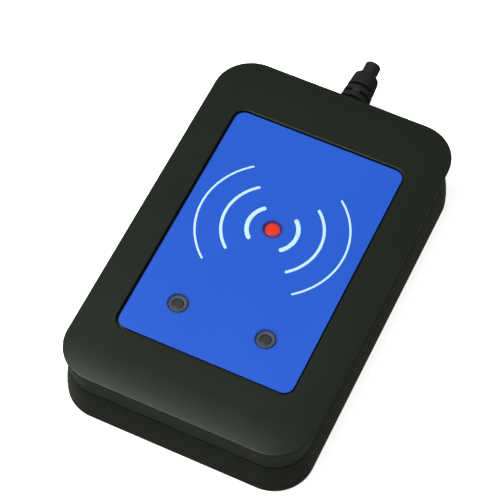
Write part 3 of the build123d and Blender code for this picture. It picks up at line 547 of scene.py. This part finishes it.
# neck: flange inside the wall, groove for the wall, collar seated on the case
neck_prof = rounded(
    [(BORE, 43.0), (BORE, 39.4), (4.9, 39.4), (4.9, 41.25), (3.3, 41.25), (3.3, SEAT_Y + 0.02), (3.78, SEAT_Y + 0.05)]
    + [(boot_r(y), y) for y in (43.6, 44.2, 44.8, 45.4, 46.0, 46.6)]
    + [(boot_r(HINGE[0] - SLOT), HINGE[0] - SLOT), (BORE, HINGE[0] - SLOT), (BORE, 43.0)],
    [0, 0.05, 0.25, 0.2, 0.05, 0.03, 0.2] + [0] * 6 + [0.2, 0.08, 0],
    5,
)[:-1]
neck = revolve_mesh("strain_neck", neck_prof, (0, 0, AX_Z), "Y", 96)
tidy(neck, 50)
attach(neck, "case")
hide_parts("boot_neck")
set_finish(neck, "boot_rubber")
boot_part("strain_ring_1", HINGE[0] + SLOT, HINGE[1] - SLOT, "boot_link_1", "boot_ring_1")
boot_part("strain_ring_2", HINGE[1] + SLOT, HINGE[2] - SLOT, "boot_link_2", "boot_ring_2")
y0 = HINGE[2] + SLOT
TIP_Y = tip_hi[1]
skin = [(boot_r(y), y) for y in np.linspace(y0, 54.4, 7)] + [(3.07, 54.7), (3.045, 55.05), (3.015, 55.4)]
end = [(2.985, TIP_Y - 0.80), (2.94, TIP_Y - 0.52), (2.84, TIP_Y - 0.27), (2.68, TIP_Y - 0.09), (2.45, TIP_Y - 0.01), (2.2, TIP_Y), (2.0, TIP_Y - 0.01), (1.91, TIP_Y - 0.07)]
tip_prof = rounded([(BORE, 53.9), (BORE, y0)] + skin + end + [(BORE, TIP_Y - 0.2), (BORE, 53.9)], [0, 0.08, 0.2] + [0] * (len(skin) - 1 + len(end)) + [0, 0], 5)[:-1]
tip = revolve_mesh("strain_tip", tip_prof, (0, 0, AX_Z), "Y", 96)
tidy(tip, 50)
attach(tip, "cable_tip")
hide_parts("boot_tip")
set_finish(tip, "boot_rubber")


def web(name, hinge, angle):
    """A thin rubber web across a slot: a curved block let into the faces on both sides."""
    y0, y1 = hinge - SLOT - 0.28, hinge + SLOT + 0.28
    half = math.radians(17.5)
    n_a, n_y = 14, 20
    rings = []
    for k in range(n_y + 1):
        y = y0 + (y1 - y0) * k / n_y
        dip = 0.10 * math.exp(-(((y - hinge) / 0.28) ** 2))
        ring = []
        r_out, r_in = boot_r(y) - 0.03 - dip, 2.1
        spread = half * (1 + 0.22 * (abs(y - hinge) / (SLOT + 0.28)) ** 2)
        for j in range(n_a + 1):
            t = math.radians(angle) - spread + 2 * spread * j / n_a
            edge = 1 - 0.05 * (abs(j - n_a / 2) / (n_a / 2)) ** 6
            ring.append((r_out * edge * math.cos(t), y, AX_Z + r_out * edge * math.sin(t)))
        for j in range(n_a + 1):
            t = math.radians(angle) + spread - 2 * spread * j / n_a
            ring.append((r_in * math.cos(t), y, AX_Z + r_in * math.sin(t)))
        rings.append(ring)
    o = rings_mesh(name, rings)
    tidy(o, 50, weighted=False)
    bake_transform(o)
    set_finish(o, "boot_rubber")
    return o


webs = []
for i, (bodies, angles) in enumerate(((("case", "boot_link_1"), (0, 180)), (("boot_link_1", "boot_link_2"), (90, 270)), (("boot_link_2", "cable_tip"), (0, 180)))):
    for j, a in enumerate(angles):
        webs.append(web(f"strain_web_{i + 1}_{'ab'[j]}", HINGE[i], a))

# ------------------------------------------------------------------ cable
def tube(name, r0, r1, y0, y1, node=None, seg=64, n=10, close=0.06):
    ys = [y0 + (y1 - y0) * k / n for k in range(n + 1)]
    if r0 > 0:
        prof = rounded([(r0, (y0 + y1) / 2), (r0, y0)] + [(r1, y) for y in ys] + [(r0, y1), (r0, (y0 + y1) / 2)], [0, close, close] + [0] * (n - 1) + [close, close, 0], 4)[:-1]
        return revolve_mesh(name, prof, (0, 0, AX_Z), "Y", seg)
    prof = rounded([(0, y0)] + [(r1, y) for y in ys] + [(0, y1)], [0, close] + [0] * (n - 1) + [close, 0], 4)
    return revolve_mesh(name, prof, (0, 0, AX_Z), "Y", seg, closed=False)


inner = tube("cable_root", 0, CABLE_R, 34.0, 46.9)
tidy(inner, 50)
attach(inner, "case")
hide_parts("cable_inner")
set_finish(inner, "cable_jacket")
splits = [46.9, (HINGE[0] + HINGE[1]) / 2, (HINGE[1] + HINGE[2]) / 2, 53.1]
for i, bodies in enumerate((("case", "boot_link_1"), ("boot_link_1", "boot_link_2"), ("boot_link_2", "cable_tip"))):
    o = tube(f"cable_bend_{i + 1}", 0, CABLE_R - 0.03, splits[i], splits[i + 1], n=16, close=0.0)
    tidy(o, 50, weighted=False)
    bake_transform(o)
    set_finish(o, "cable_jacket")
    if i == 0:
        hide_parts("cable_link_1")
    if i == 1:
        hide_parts("cable_link_2")
lead = tube("cable_jacket", 1.36, CABLE_R, 53.1, lead_hi[1], n=24, close=0.12)
tidy(lead, 50)
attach(lead, "cable_tip")
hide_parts("cable_lead")
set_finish(lead, "cable_jacket")

# conductors: insulation with a bundle of copper strands showing at the cut
cores, strands = [], []
for k in range(4):
    a = math.radians(45 + 90 * k)
    cx, cz = 0.64 * math.cos(a), AX_Z + 0.64 * math.sin(a)
    cores.append(revolve_mesh("c", [(0.24, 53.2), (0.44, 53.2), (0.44, lead_hi[1] - 0.03), (0.41, lead_hi[1]), (0.26, lead_hi[1]), (0.24, lead_hi[1] - 0.02)], (cx, 0, cz), "Y", 32))
    for q in range(7):
        rr, aa = (0.0, 0.0) if q == 0 else (0.145, math.radians(60 * q))
        strands.append(revolve_mesh("s", [(0, 53.3), (0.068, 53.3), (0.068, lead_hi[1] - 0.05), (0.05, lead_hi[1] - 0.02), (0, lead_hi[1] - 0.015)], (cx + rr * math.cos(aa), 0, cz + rr * math.sin(aa)), "Y", 12, closed=False))
cores = joined("lead_insulation", cores)
tidy(cores, 50, weighted=False)
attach(cores, "cable_tip")
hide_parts("lead_conductors")
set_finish(cores, "conductor_insulation")
strands = joined("lead_strands", strands)
tidy(strands, 50, weighted=False)
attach(strands, "cable_tip")
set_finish(strands, "copper_wire")

# ------------------------------------------------------------------ materials
def shader(name):
    m = bpy.data.materials.new(name)
    m.use_nodes = True
    nt = m.node_tree
    return m, nt, nt.nodes["Principled BSDF"]


class Tree:
    """Small helper that keeps node wiring short."""

    def __init__(self, nt):
        self.nt = nt
        self.co = nt.nodes.new("ShaderNodeTexCoord").outputs["Object"]

    def plug(self, socket, value):
        if hasattr(value, "is_output"):
            self.nt.links.new(value, socket)
        else:
            socket.default_value = value

    def mapped(self, scale=(1, 1, 1), rot=(0, 0, 0), at=(0, 0, 0)):
        n = self.nt.nodes.new("ShaderNodeMapping")
        n.inputs["Scale"].default_value = scale
        n.inputs["Rotation"].default_value = rot
        n.inputs["Location"].default_value = at
        self.plug(n.inputs["Vector"], self.co)
        return n.outputs[0]

    def noise(self, scale, detail=4.0, rough=0.55, vector=None, distort=0.0):
        n = self.nt.nodes.new("ShaderNodeTexNoise")
        n.inputs["Scale"].default_value = scale
        n.inputs["Detail"].default_value = detail
        n.inputs["Roughness"].default_value = rough
        n.inputs["Distortion"].default_value = distort
        self.plug(n.inputs["Vector"], vector or self.co)
        return n.outputs["Fac"]

    def cells(self, scale, vector=None, feature="F1"):
        n = self.nt.nodes.new("ShaderNodeTexVoronoi")
        n.feature = feature
        n.inputs["Scale"].default_value = scale
        self.plug(n.inputs["Vector"], vector or self.co)
        return n.outputs["Distance"]

    def ramp(self, fac, a, b, lo=0.0, hi=1.0):
        n = self.nt.nodes.new("ShaderNodeMapRange")
        n.clamp = True
        for key, v in zip(("From Min", "From Max", "To Min", "To Max"), (a, b, lo, hi)):
            self.plug(n.inputs[key], v)
        self.plug(n.inputs["Value"], fac)
        return n.outputs["Result"]

    def math(self, op, a, b=0.0):
        n = self.nt.nodes.new("ShaderNodeMath")
        n.operation = op
        self.plug(n.inputs[0], a)
        self.plug(n.inputs[1], b)
        return n.outputs[0]

    def mix(self, fac, a, b, kind="MIX"):
        n = self.nt.nodes.new("ShaderNodeMix")
        n.data_type = "RGBA"
        n.blend_type = kind
        self.plug(n.inputs["Factor"], fac)
        self.plug(n.inputs["A"], a)
        self.plug(n.inputs["B"], b)
        return n.outputs["Result"]

    def bump(self, height, strength, distance, normal=None):
        n = self.nt.nodes.new("ShaderNodeBump")
        n.inputs["Strength"].default_value = strength
        n.inputs["Distance"].default_value = distance
        self.plug(n.inputs["Height"], height)
        if normal is not None:
            self.plug(n.inputs["Normal"], normal)
        return n.outputs["Normal"]

    def axis(self, which):
        n = self.nt.nodes.new("ShaderNodeSeparateXYZ")
        self.plug(n.inputs[0], self.co)
        return n.outputs[which]


def rgb(c, k=1.0):
    return (min(c[0] * k, 1), min(c[1] * k, 1), min(c[2] * k, 1), 1.0)


def worn_and_shaded(name, base, rough, metallic=0.0, vary=0.12, patch=120.0, grain=9000.0, depth=0.000012, bump=0.25, rough_vary=0.08, spec=0.5, scratch=0.0, brushed=None, tint=None, spec_tint=None, shade_bands=()):
    """Base finish used by every slot: patchy colour, fine grain with bump, uneven roughness, faint handling marks, and
    painted shade in any bands given.
    """
    m, nt, p = shader(name)
    t = Tree(nt)
    patchy = t.noise(patch, 5.0, 0.6)
    fine = t.noise(grain, 3.0, 0.6, vector=t.mapped(scale=brushed) if brushed else None)
    colour = t.mix(t.ramp(patchy, 0.3, 0.7), rgb(base, 1 - vary), rgb(tint or base, 1 + vary))
    colour = t.mix(t.ramp(fine, 0.35, 0.65, 0.0, 0.35), colour, rgb(base, 1 + 2.2 * vary))
    roughness = t.math("ADD", t.ramp(patchy, 0.25, 0.75, rough - rough_vary, rough + rough_vary), t.ramp(fine, 0.3, 0.7, -rough_vary * 0.4, rough_vary * 0.4))
    if scratch:
        lines = t.ramp(t.noise(90.0, 2.0, 0.5, vector=t.mapped(scale=(1.2, 42.0, 1.0), rot=(0, 0, 0.5)), distort=0.4), 0.69, 0.74)
        lines2 = t.ramp(t.noise(70.0, 2.0, 0.5, vector=t.mapped(scale=(36.0, 1.0, 1.0), rot=(0, 0, 0.9)), distort=0.3), 0.70, 0.75)
        marks = t.math("MULTIPLY", t.math("MAXIMUM", lines, lines2), scratch)
        colour = t.mix(marks, colour, rgb([min(c * 1.6 + 0.01, 1) for c in base]))
        roughness = t.math("SUBTRACT", roughness, t.math("MULTIPLY", marks, 0.25))
    t.plug(p.inputs["Base Color"], colour)
    t.plug(p.inputs["Roughness"], roughness)
    p.inputs["Metallic"].default_value = metallic
    p.inputs["Specular IOR Level"].default_value = spec
    if spec_tint:
        p.inputs["Specular Tint"].default_value = (*spec_tint, 1.0)
    # painted shade, darkening the colour and dimming the specular in bands given as (height at the crease, height where
    # it has faded, strength), in mm
    painted_shade = 0.0
    for z_in, z_out, k in shade_bands:
        here = t.ramp(t.axis(2), z_out * MM, z_in * MM, 0.0, k)
        side = t.math("GREATER_THAN", t.axis(2), z_in * MM) if z_in > z_out else t.math("LESS_THAN", t.axis(2), z_in * MM)
        here = t.math("MULTIPLY", here, t.math("SUBTRACT", 1.0, side))
        painted_shade = t.math("MAXIMUM", painted_shade, t.math("MULTIPLY", here, t.ramp(patchy, 0.2, 0.8, 0.8, 1.0)))
    if shade_bands:
        t.plug(p.inputs["Base Color"], t.mix(painted_shade, colour, rgb(base, 0.25)))
        t.plug(p.inputs["Specular IOR Level"], t.math("MULTIPLY", t.math("SUBTRACT", 1.0, painted_shade), spec))
    t.plug(p.inputs["Normal"], t.bump(fine, bump, depth))
    return m


mats = {
    # case_plastic gets painted shade on both sides of the parting gap and towards the bottom edge of the base
    "case_plastic": worn_and_shaded("case_plastic", (0.0090, 0.0104, 0.0080), 0.34, vary=0.05, patch=60, grain=5200, depth=0.000010, bump=0.35, rough_vary=0.03, spec=0.22, scratch=0.05, spec_tint=(0.84, 1.0, 0.90), shade_bands=((COVER_Z0, COVER_Z0 + 0.5, 0.5), (PART_Z, PART_Z - 0.35, 0.9), (0.02, 4.5, 0.36), (0.02, 0.9, 0.85))),
    "overlay_blue": worn_and_shaded("overlay_blue", (0.0118, 0.0705, 0.420), 0.40, vary=0.025, patch=45, grain=9000, depth=0.000004, bump=0.18, rough_vary=0.04, spec=0.2, scratch=0.04),
    "print_white": worn_and_shaded("print_white", (0.385, 0.57, 0.67), 0.45, vary=0.03, patch=800, grain=14000, depth=0.000004, bump=0.3, rough_vary=0.05, spec=0.3),
    "bezel_grey": worn_and_shaded("bezel_grey", (0.0240, 0.0350, 0.056), 0.45, vary=0.08, patch=900, grain=12000, depth=0.000006, bump=0.2, rough_vary=0.05),
    "foot_rubber": worn_and_shaded("foot_rubber", (0.018, 0.018, 0.018), 0.74, vary=0.12, patch=300, grain=7000, depth=0.00003, bump=0.5, spec=0.3),
    "label_film": worn_and_shaded("label_film", (0.55, 0.55, 0.53), 0.42, vary=0.04, patch=120, grain=8000, depth=0.000004, bump=0.2, scratch=0.1),
    "screw_steel": worn_and_shaded("screw_steel", (0.56, 0.55, 0.52), 0.34, metallic=1.0, vary=0.1, patch=900, grain=6000, depth=0.000006, bump=0.25, scratch=0.2),
    "board_green": worn_and_shaded("board_green", (0.012, 0.11, 0.04), 0.34, vary=0.12, patch=180, grain=7000, depth=0.000006, bump=0.3, tint=(0.016, 0.14, 0.05)),
    "copper_wire": worn_and_shaded("copper_wire", (0.62, 0.23, 0.085), 0.30, metallic=1.0, vary=0.15, patch=400, grain=5200, depth=0.00002, bump=0.6, brushed=(0.4, 0.4, 6.0)),
    "amber_tape": worn_and_shaded("amber_tape", (0.56, 0.27, 0.02), 0.28, vary=0.12, patch=500, grain=9000, depth=0.000004, bump=0.2),
    "white_foam": worn_and_shaded("white_foam", (0.72, 0.72, 0.69), 0.9, vary=0.08, patch=900, grain=5000, depth=0.00006, bump=0.9, spec=0.1),
    "chip_black": worn_and_shaded("chip_black", (0.022, 0.022, 0.023), 0.6, vary=0.14, patch=600, grain=11000, depth=0.000012, bump=0.5, spec=0.35),
    "can_metal": worn_and_shaded("can_metal", (0.62, 0.61, 0.58), 0.28, metallic=1.0, vary=0.06, patch=700, grain=8000, depth=0.000004, bump=0.2, scratch=0.2),
    "can_aluminium": worn_and_shaded("can_aluminium", (0.72, 0.72, 0.72), 0.36, metallic=1.0, vary=0.06, patch=700, grain=8000, depth=0.000004, bump=0.25, brushed=(1, 1, 0.1)),
    "resistor_black": worn_and_shaded("resistor_black", (0.03, 0.03, 0.032), 0.35, vary=0.2, patch=2500, grain=12000, depth=0.000006, bump=0.3),
    "capacitor_tan": worn_and_shaded("capacitor_tan", (0.36, 0.23, 0.12), 0.5, vary=0.15, patch=2500, grain=12000, depth=0.00001, bump=0.4),
    "led_white": worn_and_shaded("led_white", (0.75, 0.75, 0.68), 0.3, vary=0.05, patch=1500, grain=12000, depth=0.000006, bump=0.2),
    "nylon_white": worn_and_shaded("nylon_white", (0.74, 0.70, 0.60), 0.45, vary=0.05, patch=500, grain=7000, depth=0.00001, bump=0.3),
    "tinned_pin": worn_and_shaded("tinned_pin", (0.66, 0.65, 0.62), 0.25, metallic=1.0, vary=0.08, patch=2500, grain=10000, depth=0.000006, bump=0.3),
    "wire_red": worn_and_shaded("wire_red", (0.42, 0.012, 0.01), 0.42, vary=0.08, patch=900, grain=8000, depth=0.00001, bump=0.3),
    "wire_white": worn_and_shaded("wire_white", (0.70, 0.70, 0.66), 0.42, vary=0.06, patch=900, grain=8000, depth=0.00001, bump=0.3),
    "wire_green": worn_and_shaded("wire_green", (0.012, 0.21, 0.045), 0.42, vary=0.08, patch=900, grain=8000, depth=0.00001, bump=0.3),
    "wire_black": worn_and_shaded("wire_black", (0.016, 0.016, 0.016), 0.45, vary=0.12, patch=900, grain=8000, depth=0.00001, bump=0.3),
    "cable_jacket": worn_and_shaded("cable_jacket", (0.0100, 0.0106, 0.0096), 0.5, vary=0.08, patch=250, grain=6000, depth=0.000012, bump=0.35, spec=0.25),
    "boot_rubber": worn_and_shaded("boot_rubber", (0.0092, 0.0100, 0.0088), 0.55, vary=0.10, patch=220, grain=6500, depth=0.000015, bump=0.4, spec=0.2),
}

# braid and drain: crossed fine wires
m, nt, p = shader("bare_wire")
t = Tree(nt)
a = t.math("SINE", t.math("MULTIPLY", t.math("ADD", t.math("MULTIPLY", t.axis(0), 1.0), t.axis(1)), 22000.0))
b = t.math("SINE", t.math("MULTIPLY", t.math("SUBTRACT", t.axis(1), t.axis(0)), 22000.0))
weave = t.math("MAXIMUM", a, b)
t.plug(p.inputs["Base Color"], t.mix(t.ramp(weave, -0.2, 0.9), (0.25, 0.24, 0.22, 1), (0.70, 0.68, 0.63, 1)))
p.inputs["Metallic"].default_value = 1.0
t.plug(p.inputs["Roughness"], t.ramp(t.noise(1500.0), 0.3, 0.7, 0.24, 0.42))
t.plug(p.inputs["Normal"], t.bump(weave, 0.6, 0.00004))
mats["bare_wire"] = m

# conductor insulation: one colour to each quarter round the cable axis
m, nt, p = shader("conductor_insulation")
t = Tree(nt)
right = t.math("GREATER_THAN", t.axis(0), 0.0)
above = t.math("GREATER_THAN", t.axis(2), AX_Z * MM)
upper = t.mix(right, (0.42, 0.012, 0.01, 1), (0.016, 0.016, 0.016, 1))
lower = t.mix(right, (0.70, 0.70, 0.66, 1), (0.012, 0.21, 0.045, 1))
colour = t.mix(above, lower, upper)
colour = t.mix(t.ramp(t.noise(2500.0), 0.3, 0.7, 0.0, 0.18), colour, (0.1, 0.1, 0.1, 1))
t.plug(p.inputs["Base Color"], colour)
t.plug(p.inputs["Roughness"], t.ramp(t.noise(2200.0), 0.3, 0.7, 0.36, 0.5))
t.plug(p.inputs["Normal"], t.bump(t.noise(9000.0), 0.3, 0.00001))
mats["conductor_insulation"] = m

# lit indicator: bright core, deeper and bluer towards the edge
m, nt, p = shader("red_lens")
t = Tree(nt)
dy = t.math("SUBTRACT", t.axis(1), LAMP_Y * MM)
rad = t.math("SQRT", t.math("ADD", t.math("MULTIPLY", t.axis(0), t.axis(0)), t.math("MULTIPLY", dy, dy)))
rad = t.math("ADD", rad, t.math("MULTIPLY", t.math("SUBTRACT", t.noise(900.0), 0.5), 0.0002))
edge = t.math("POWER", t.ramp(rad, 0.0001, 0.0016), 2.0)
glow = t.mix(edge, (0.90, 0.040, 0.012, 1), (0.36, 0.052, 0.065, 1))
t.plug(p.inputs["Base Color"], t.mix(edge, (0.06, 0.003, 0.002, 1), (0.05, 0.006, 0.008, 1)))
t.plug(p.inputs["Emission Color"], glow)
t.plug(p.inputs["Emission Strength"], t.ramp(edge, 0.0, 1.0, 1.0, 0.98))
t.plug(p.inputs["Roughness"], t.ramp(t.noise(1200.0), 0.3, 0.7, 0.16, 0.28))
t.plug(p.inputs["Normal"], t.bump(t.noise(6000.0), 0.2, 0.000006))
p.inputs["Specular IOR Level"].default_value = 0.06
mats["red_lens"] = m

# smoked light pipe, unlit: faint glow of the cavity under it
m, nt, p = shader("smoked_lens")
t = Tree(nt)
dx = t.math("SUBTRACT", t.math("ABSOLUTE", t.axis(0)), abs(WIN[0]) * MM)
dy = t.math("SUBTRACT", t.axis(1), WIN[1] * MM)
rad = t.math("SQRT", t.math("ADD", t.math("MULTIPLY", dx, dx), t.math("MULTIPLY", dy, dy)))
t.plug(p.inputs["Base Color"], t.mix(t.ramp(rad, 0.0003, 0.0012), (0.031, 0.036, 0.034, 1), (0.022, 0.026, 0.024, 1)))
t.plug(p.inputs["Roughness"], t.ramp(t.noise(1500.0), 0.3, 0.7, 0.2, 0.34))
t.plug(p.inputs["Normal"], t.bump(t.noise(5000.0), 0.25, 0.000008))
p.inputs["Specular IOR Level"].default_value = 0.1
mats["smoked_lens"] = m

# colour that shows only round the openings of the overlay: painted reflection and glow on the cover plastic, and
# painted shade on the film at the cut edge
def tinted(key, builder, colour):
    nt = mats[key].node_tree
    t = Tree(nt)
    p = next(n for n in nt.nodes if n.type == "BSDF_PRINCIPLED")
    t.plug(p.inputs["Base Color"], t.mix(builder(t), p.inputs["Base Color"].links[0].from_socket, (*colour, 1)))


def near(t, x, y):
    dx = t.math("SUBTRACT", t.math("ABSOLUTE", t.axis(0)), abs(x) * MM)
    dy = t.math("SUBTRACT", t.axis(1), y * MM)
    return t.math("SQRT", t.math("ADD", t.math("MULTIPLY", dx, dx), t.math("MULTIPLY", dy, dy)))


# painted blue reflection of the film, laid on the moat floor and the lower recess wall
def painted_film_reflection(t):
    inside = t.math("MULTIPLY", t.math("LESS_THAN", t.math("ABSOLUTE", t.axis(0)), (RECESS_W / 2 + 0.1) * MM), t.math("LESS_THAN", t.math("ABSOLUTE", t.axis(1)), (RECESS_L / 2 + 0.3) * MM))
    depth = t.math("MULTIPLY", t.math("GREATER_THAN", t.axis(2), 0.0156), t.ramp(t.axis(2), 0.01635, 0.01675, 0.8, 0.0))
    return t.math("MULTIPLY", inside, depth)


tinted("case_plastic", painted_film_reflection, (0.010, 0.016, 0.040))
# painted purple glow from the red lamp and the blue film on the cover round the lamp hole
tinted("case_plastic", lambda t: t.math("MULTIPLY", t.math("GREATER_THAN", t.axis(2), 0.0150), t.ramp(near(t, 0.0, LAMP_Y), 0.0022, 0.0026, 1.0, 0.0)), (0.048, 0.014, 0.085))
# painted blue reflection of the film on the cover round the window holes
tinted("case_plastic", lambda t: t.math("MULTIPLY", t.math("GREATER_THAN", t.axis(2), 0.0150), t.ramp(near(t, *WIN), 0.0024, 0.0027, 1.0, 0.0)), (0.018, 0.034, 0.120))
# painted shade on the film round the window holes
tinted("overlay_blue", lambda t: t.ramp(near(t, *WIN), 0.0023, 0.0029, 0.30, 0.0), (0.010, 0.020, 0.09))
# painted shade, with a little painted red glow, on the film round the lamp hole
tinted("overlay_blue", lambda t: t.ramp(near(t, 0.0, LAMP_Y), 0.0022, 0.0028, 0.22, 0.0), (0.030, 0.020, 0.12))

slot_of = {s["node"]: s["material_slot"] for s in frame["record"]["subparts"]}
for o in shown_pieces():
    key = o.get("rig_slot") or slot_of.get(o.get("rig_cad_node"))
    o.data.materials.clear()
    o.data.materials.append(mats[key])
    if "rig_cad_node" in o:
        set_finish(o, key)

# ------------------------------------------------------------------ floor, light, camera
FLOOR_Z = -0.0009
me = bpy.data.meshes.new("floor")
s = 1.6
me.from_pydata([(-s, -s, FLOOR_Z), (s, -s, FLOOR_Z), (s, s, FLOOR_Z), (-s, s, FLOOR_Z)], [], [(0, 1, 2, 3)])
floor = link(bpy.data.objects.new("floor", me))
m, nt, p = shader("floor_pale")
t = Tree(nt)
rays = nt.nodes.new("ShaderNodeLightPath")
seen = rays.outputs["Is Camera Ray"]
paper = t.mix(t.ramp(t.noise(14.0), 0.3, 0.7), (0.90, 0.90, 0.90, 1), (0.92, 0.92, 0.92, 1))
t.plug(p.inputs["Base Color"], t.mix(rays.outputs["Is Glossy Ray"], t.mix(seen, (0.50, 0.50, 0.48, 1), paper), (0.074, 0.078, 0.068, 1)))
p.inputs["Roughness"].default_value = 0.9
p.inputs["Specular IOR Level"].default_value = 0.0
t.plug(p.inputs["Emission Color"], t.mix(rays.outputs["Is Glossy Ray"], (1, 1, 1, 1), (0.93, 1.0, 0.84, 1)))
t.plug(p.inputs["Emission Strength"], t.math("ADD", t.math("MULTIPLY", seen, 0.80), t.math("MULTIPLY", rays.outputs["Is Glossy Ray"], 0.095)))
me.materials.append(m)


def softbox(name, at, aim, size, watts, size_y=None, spread=180, colour=(1, 1, 1)):
    d = bpy.data.lights.new(name, "AREA")
    d.shape = "RECTANGLE"
    d.size = size
    d.size_y = size_y or size
    d.energy = watts
    d.color = colour
    d.spread = math.radians(spread)
    o = link(bpy.data.objects.new(name, d))
    o.location = at
    o.rotation_euler = (Vector(aim) - Vector(at)).to_track_quat("-Z", "Y").to_euler()
    return o


softbox("key_overhead", (-0.28, -0.20, 0.92), (0, 0, 0), 0.60, 13.5, 0.38)
softbox("fill_left", (-0.95, -0.30, 0.55), (0, 0, 0), 0.5, 3.0)
wash = softbox("wash_back_right", (0.75, 0.45, 0.80), (0, 0, 0), 0.6, 0.45)
low = softbox("fill_low_front", (0.10, -1.15, 0.24), (0, 0, 0), 0.6, 2.4)
wash.visible_glossy = False

world = bpy.data.worlds.new("studio")
world.use_nodes = True
bg = world.node_tree.nodes["Background"]
bg.inputs["Color"].default_value = (0.94, 1.0, 0.88, 1)
bg.inputs["Strength"].default_value = 0.18
# the backdrop is as pale as the floor when looked at, but lights the object only softly
wn = world.node_tree.nodes
seen_as = wn.new("ShaderNodeBackground")
seen_as.inputs["Color"].default_value = (1.0, 1.0, 1.0, 1.0)
seen_as.inputs["Strength"].default_value = 0.92
pick = wn.new("ShaderNodeMixShader")
world.node_tree.links.new(wn.new("ShaderNodeLightPath").outputs["Is Camera Ray"], pick.inputs[0])
world.node_tree.links.new(bg.outputs[0], pick.inputs[1])
world.node_tree.links.new(seen_as.outputs[0], pick.inputs[2])
out = next(n for n in wn if n.type == "OUTPUT_WORLD")
world.node_tree.links.new(pick.outputs[0], out.inputs["Surface"])
bpy.context.scene.world = world

cam_data = bpy.data.cameras.new("camera")
cam_data.lens = 149.0928
cam_data.sensor_width = 36.0
cam_data.clip_start = 0.01
cam_data.clip_end = 20.0
cam = link(bpy.data.objects.new("camera", cam_data))
r0, r1, r2 = (0.9049105, 0.4255418, 0.0071573), (0.3642148, -0.7655796, -0.5303163), (-0.2201922, 0.4824956, -0.8477697)
rot = Matrix(((r0[0], -r1[0], -r2[0]), (r0[1], -r1[1], -r2[1]), (r0[2], -r1[2], -r2[2])))
cam.matrix_world = Matrix.Translation((0.09404045, -0.212544, 0.38696733)) @ rot.to_4x4()
bpy.context.scene.camera = cam
vs = bpy.context.scene.view_settings
vs.view_transform = "Standard"
vs.look = "None"
vs.exposure = 0.0
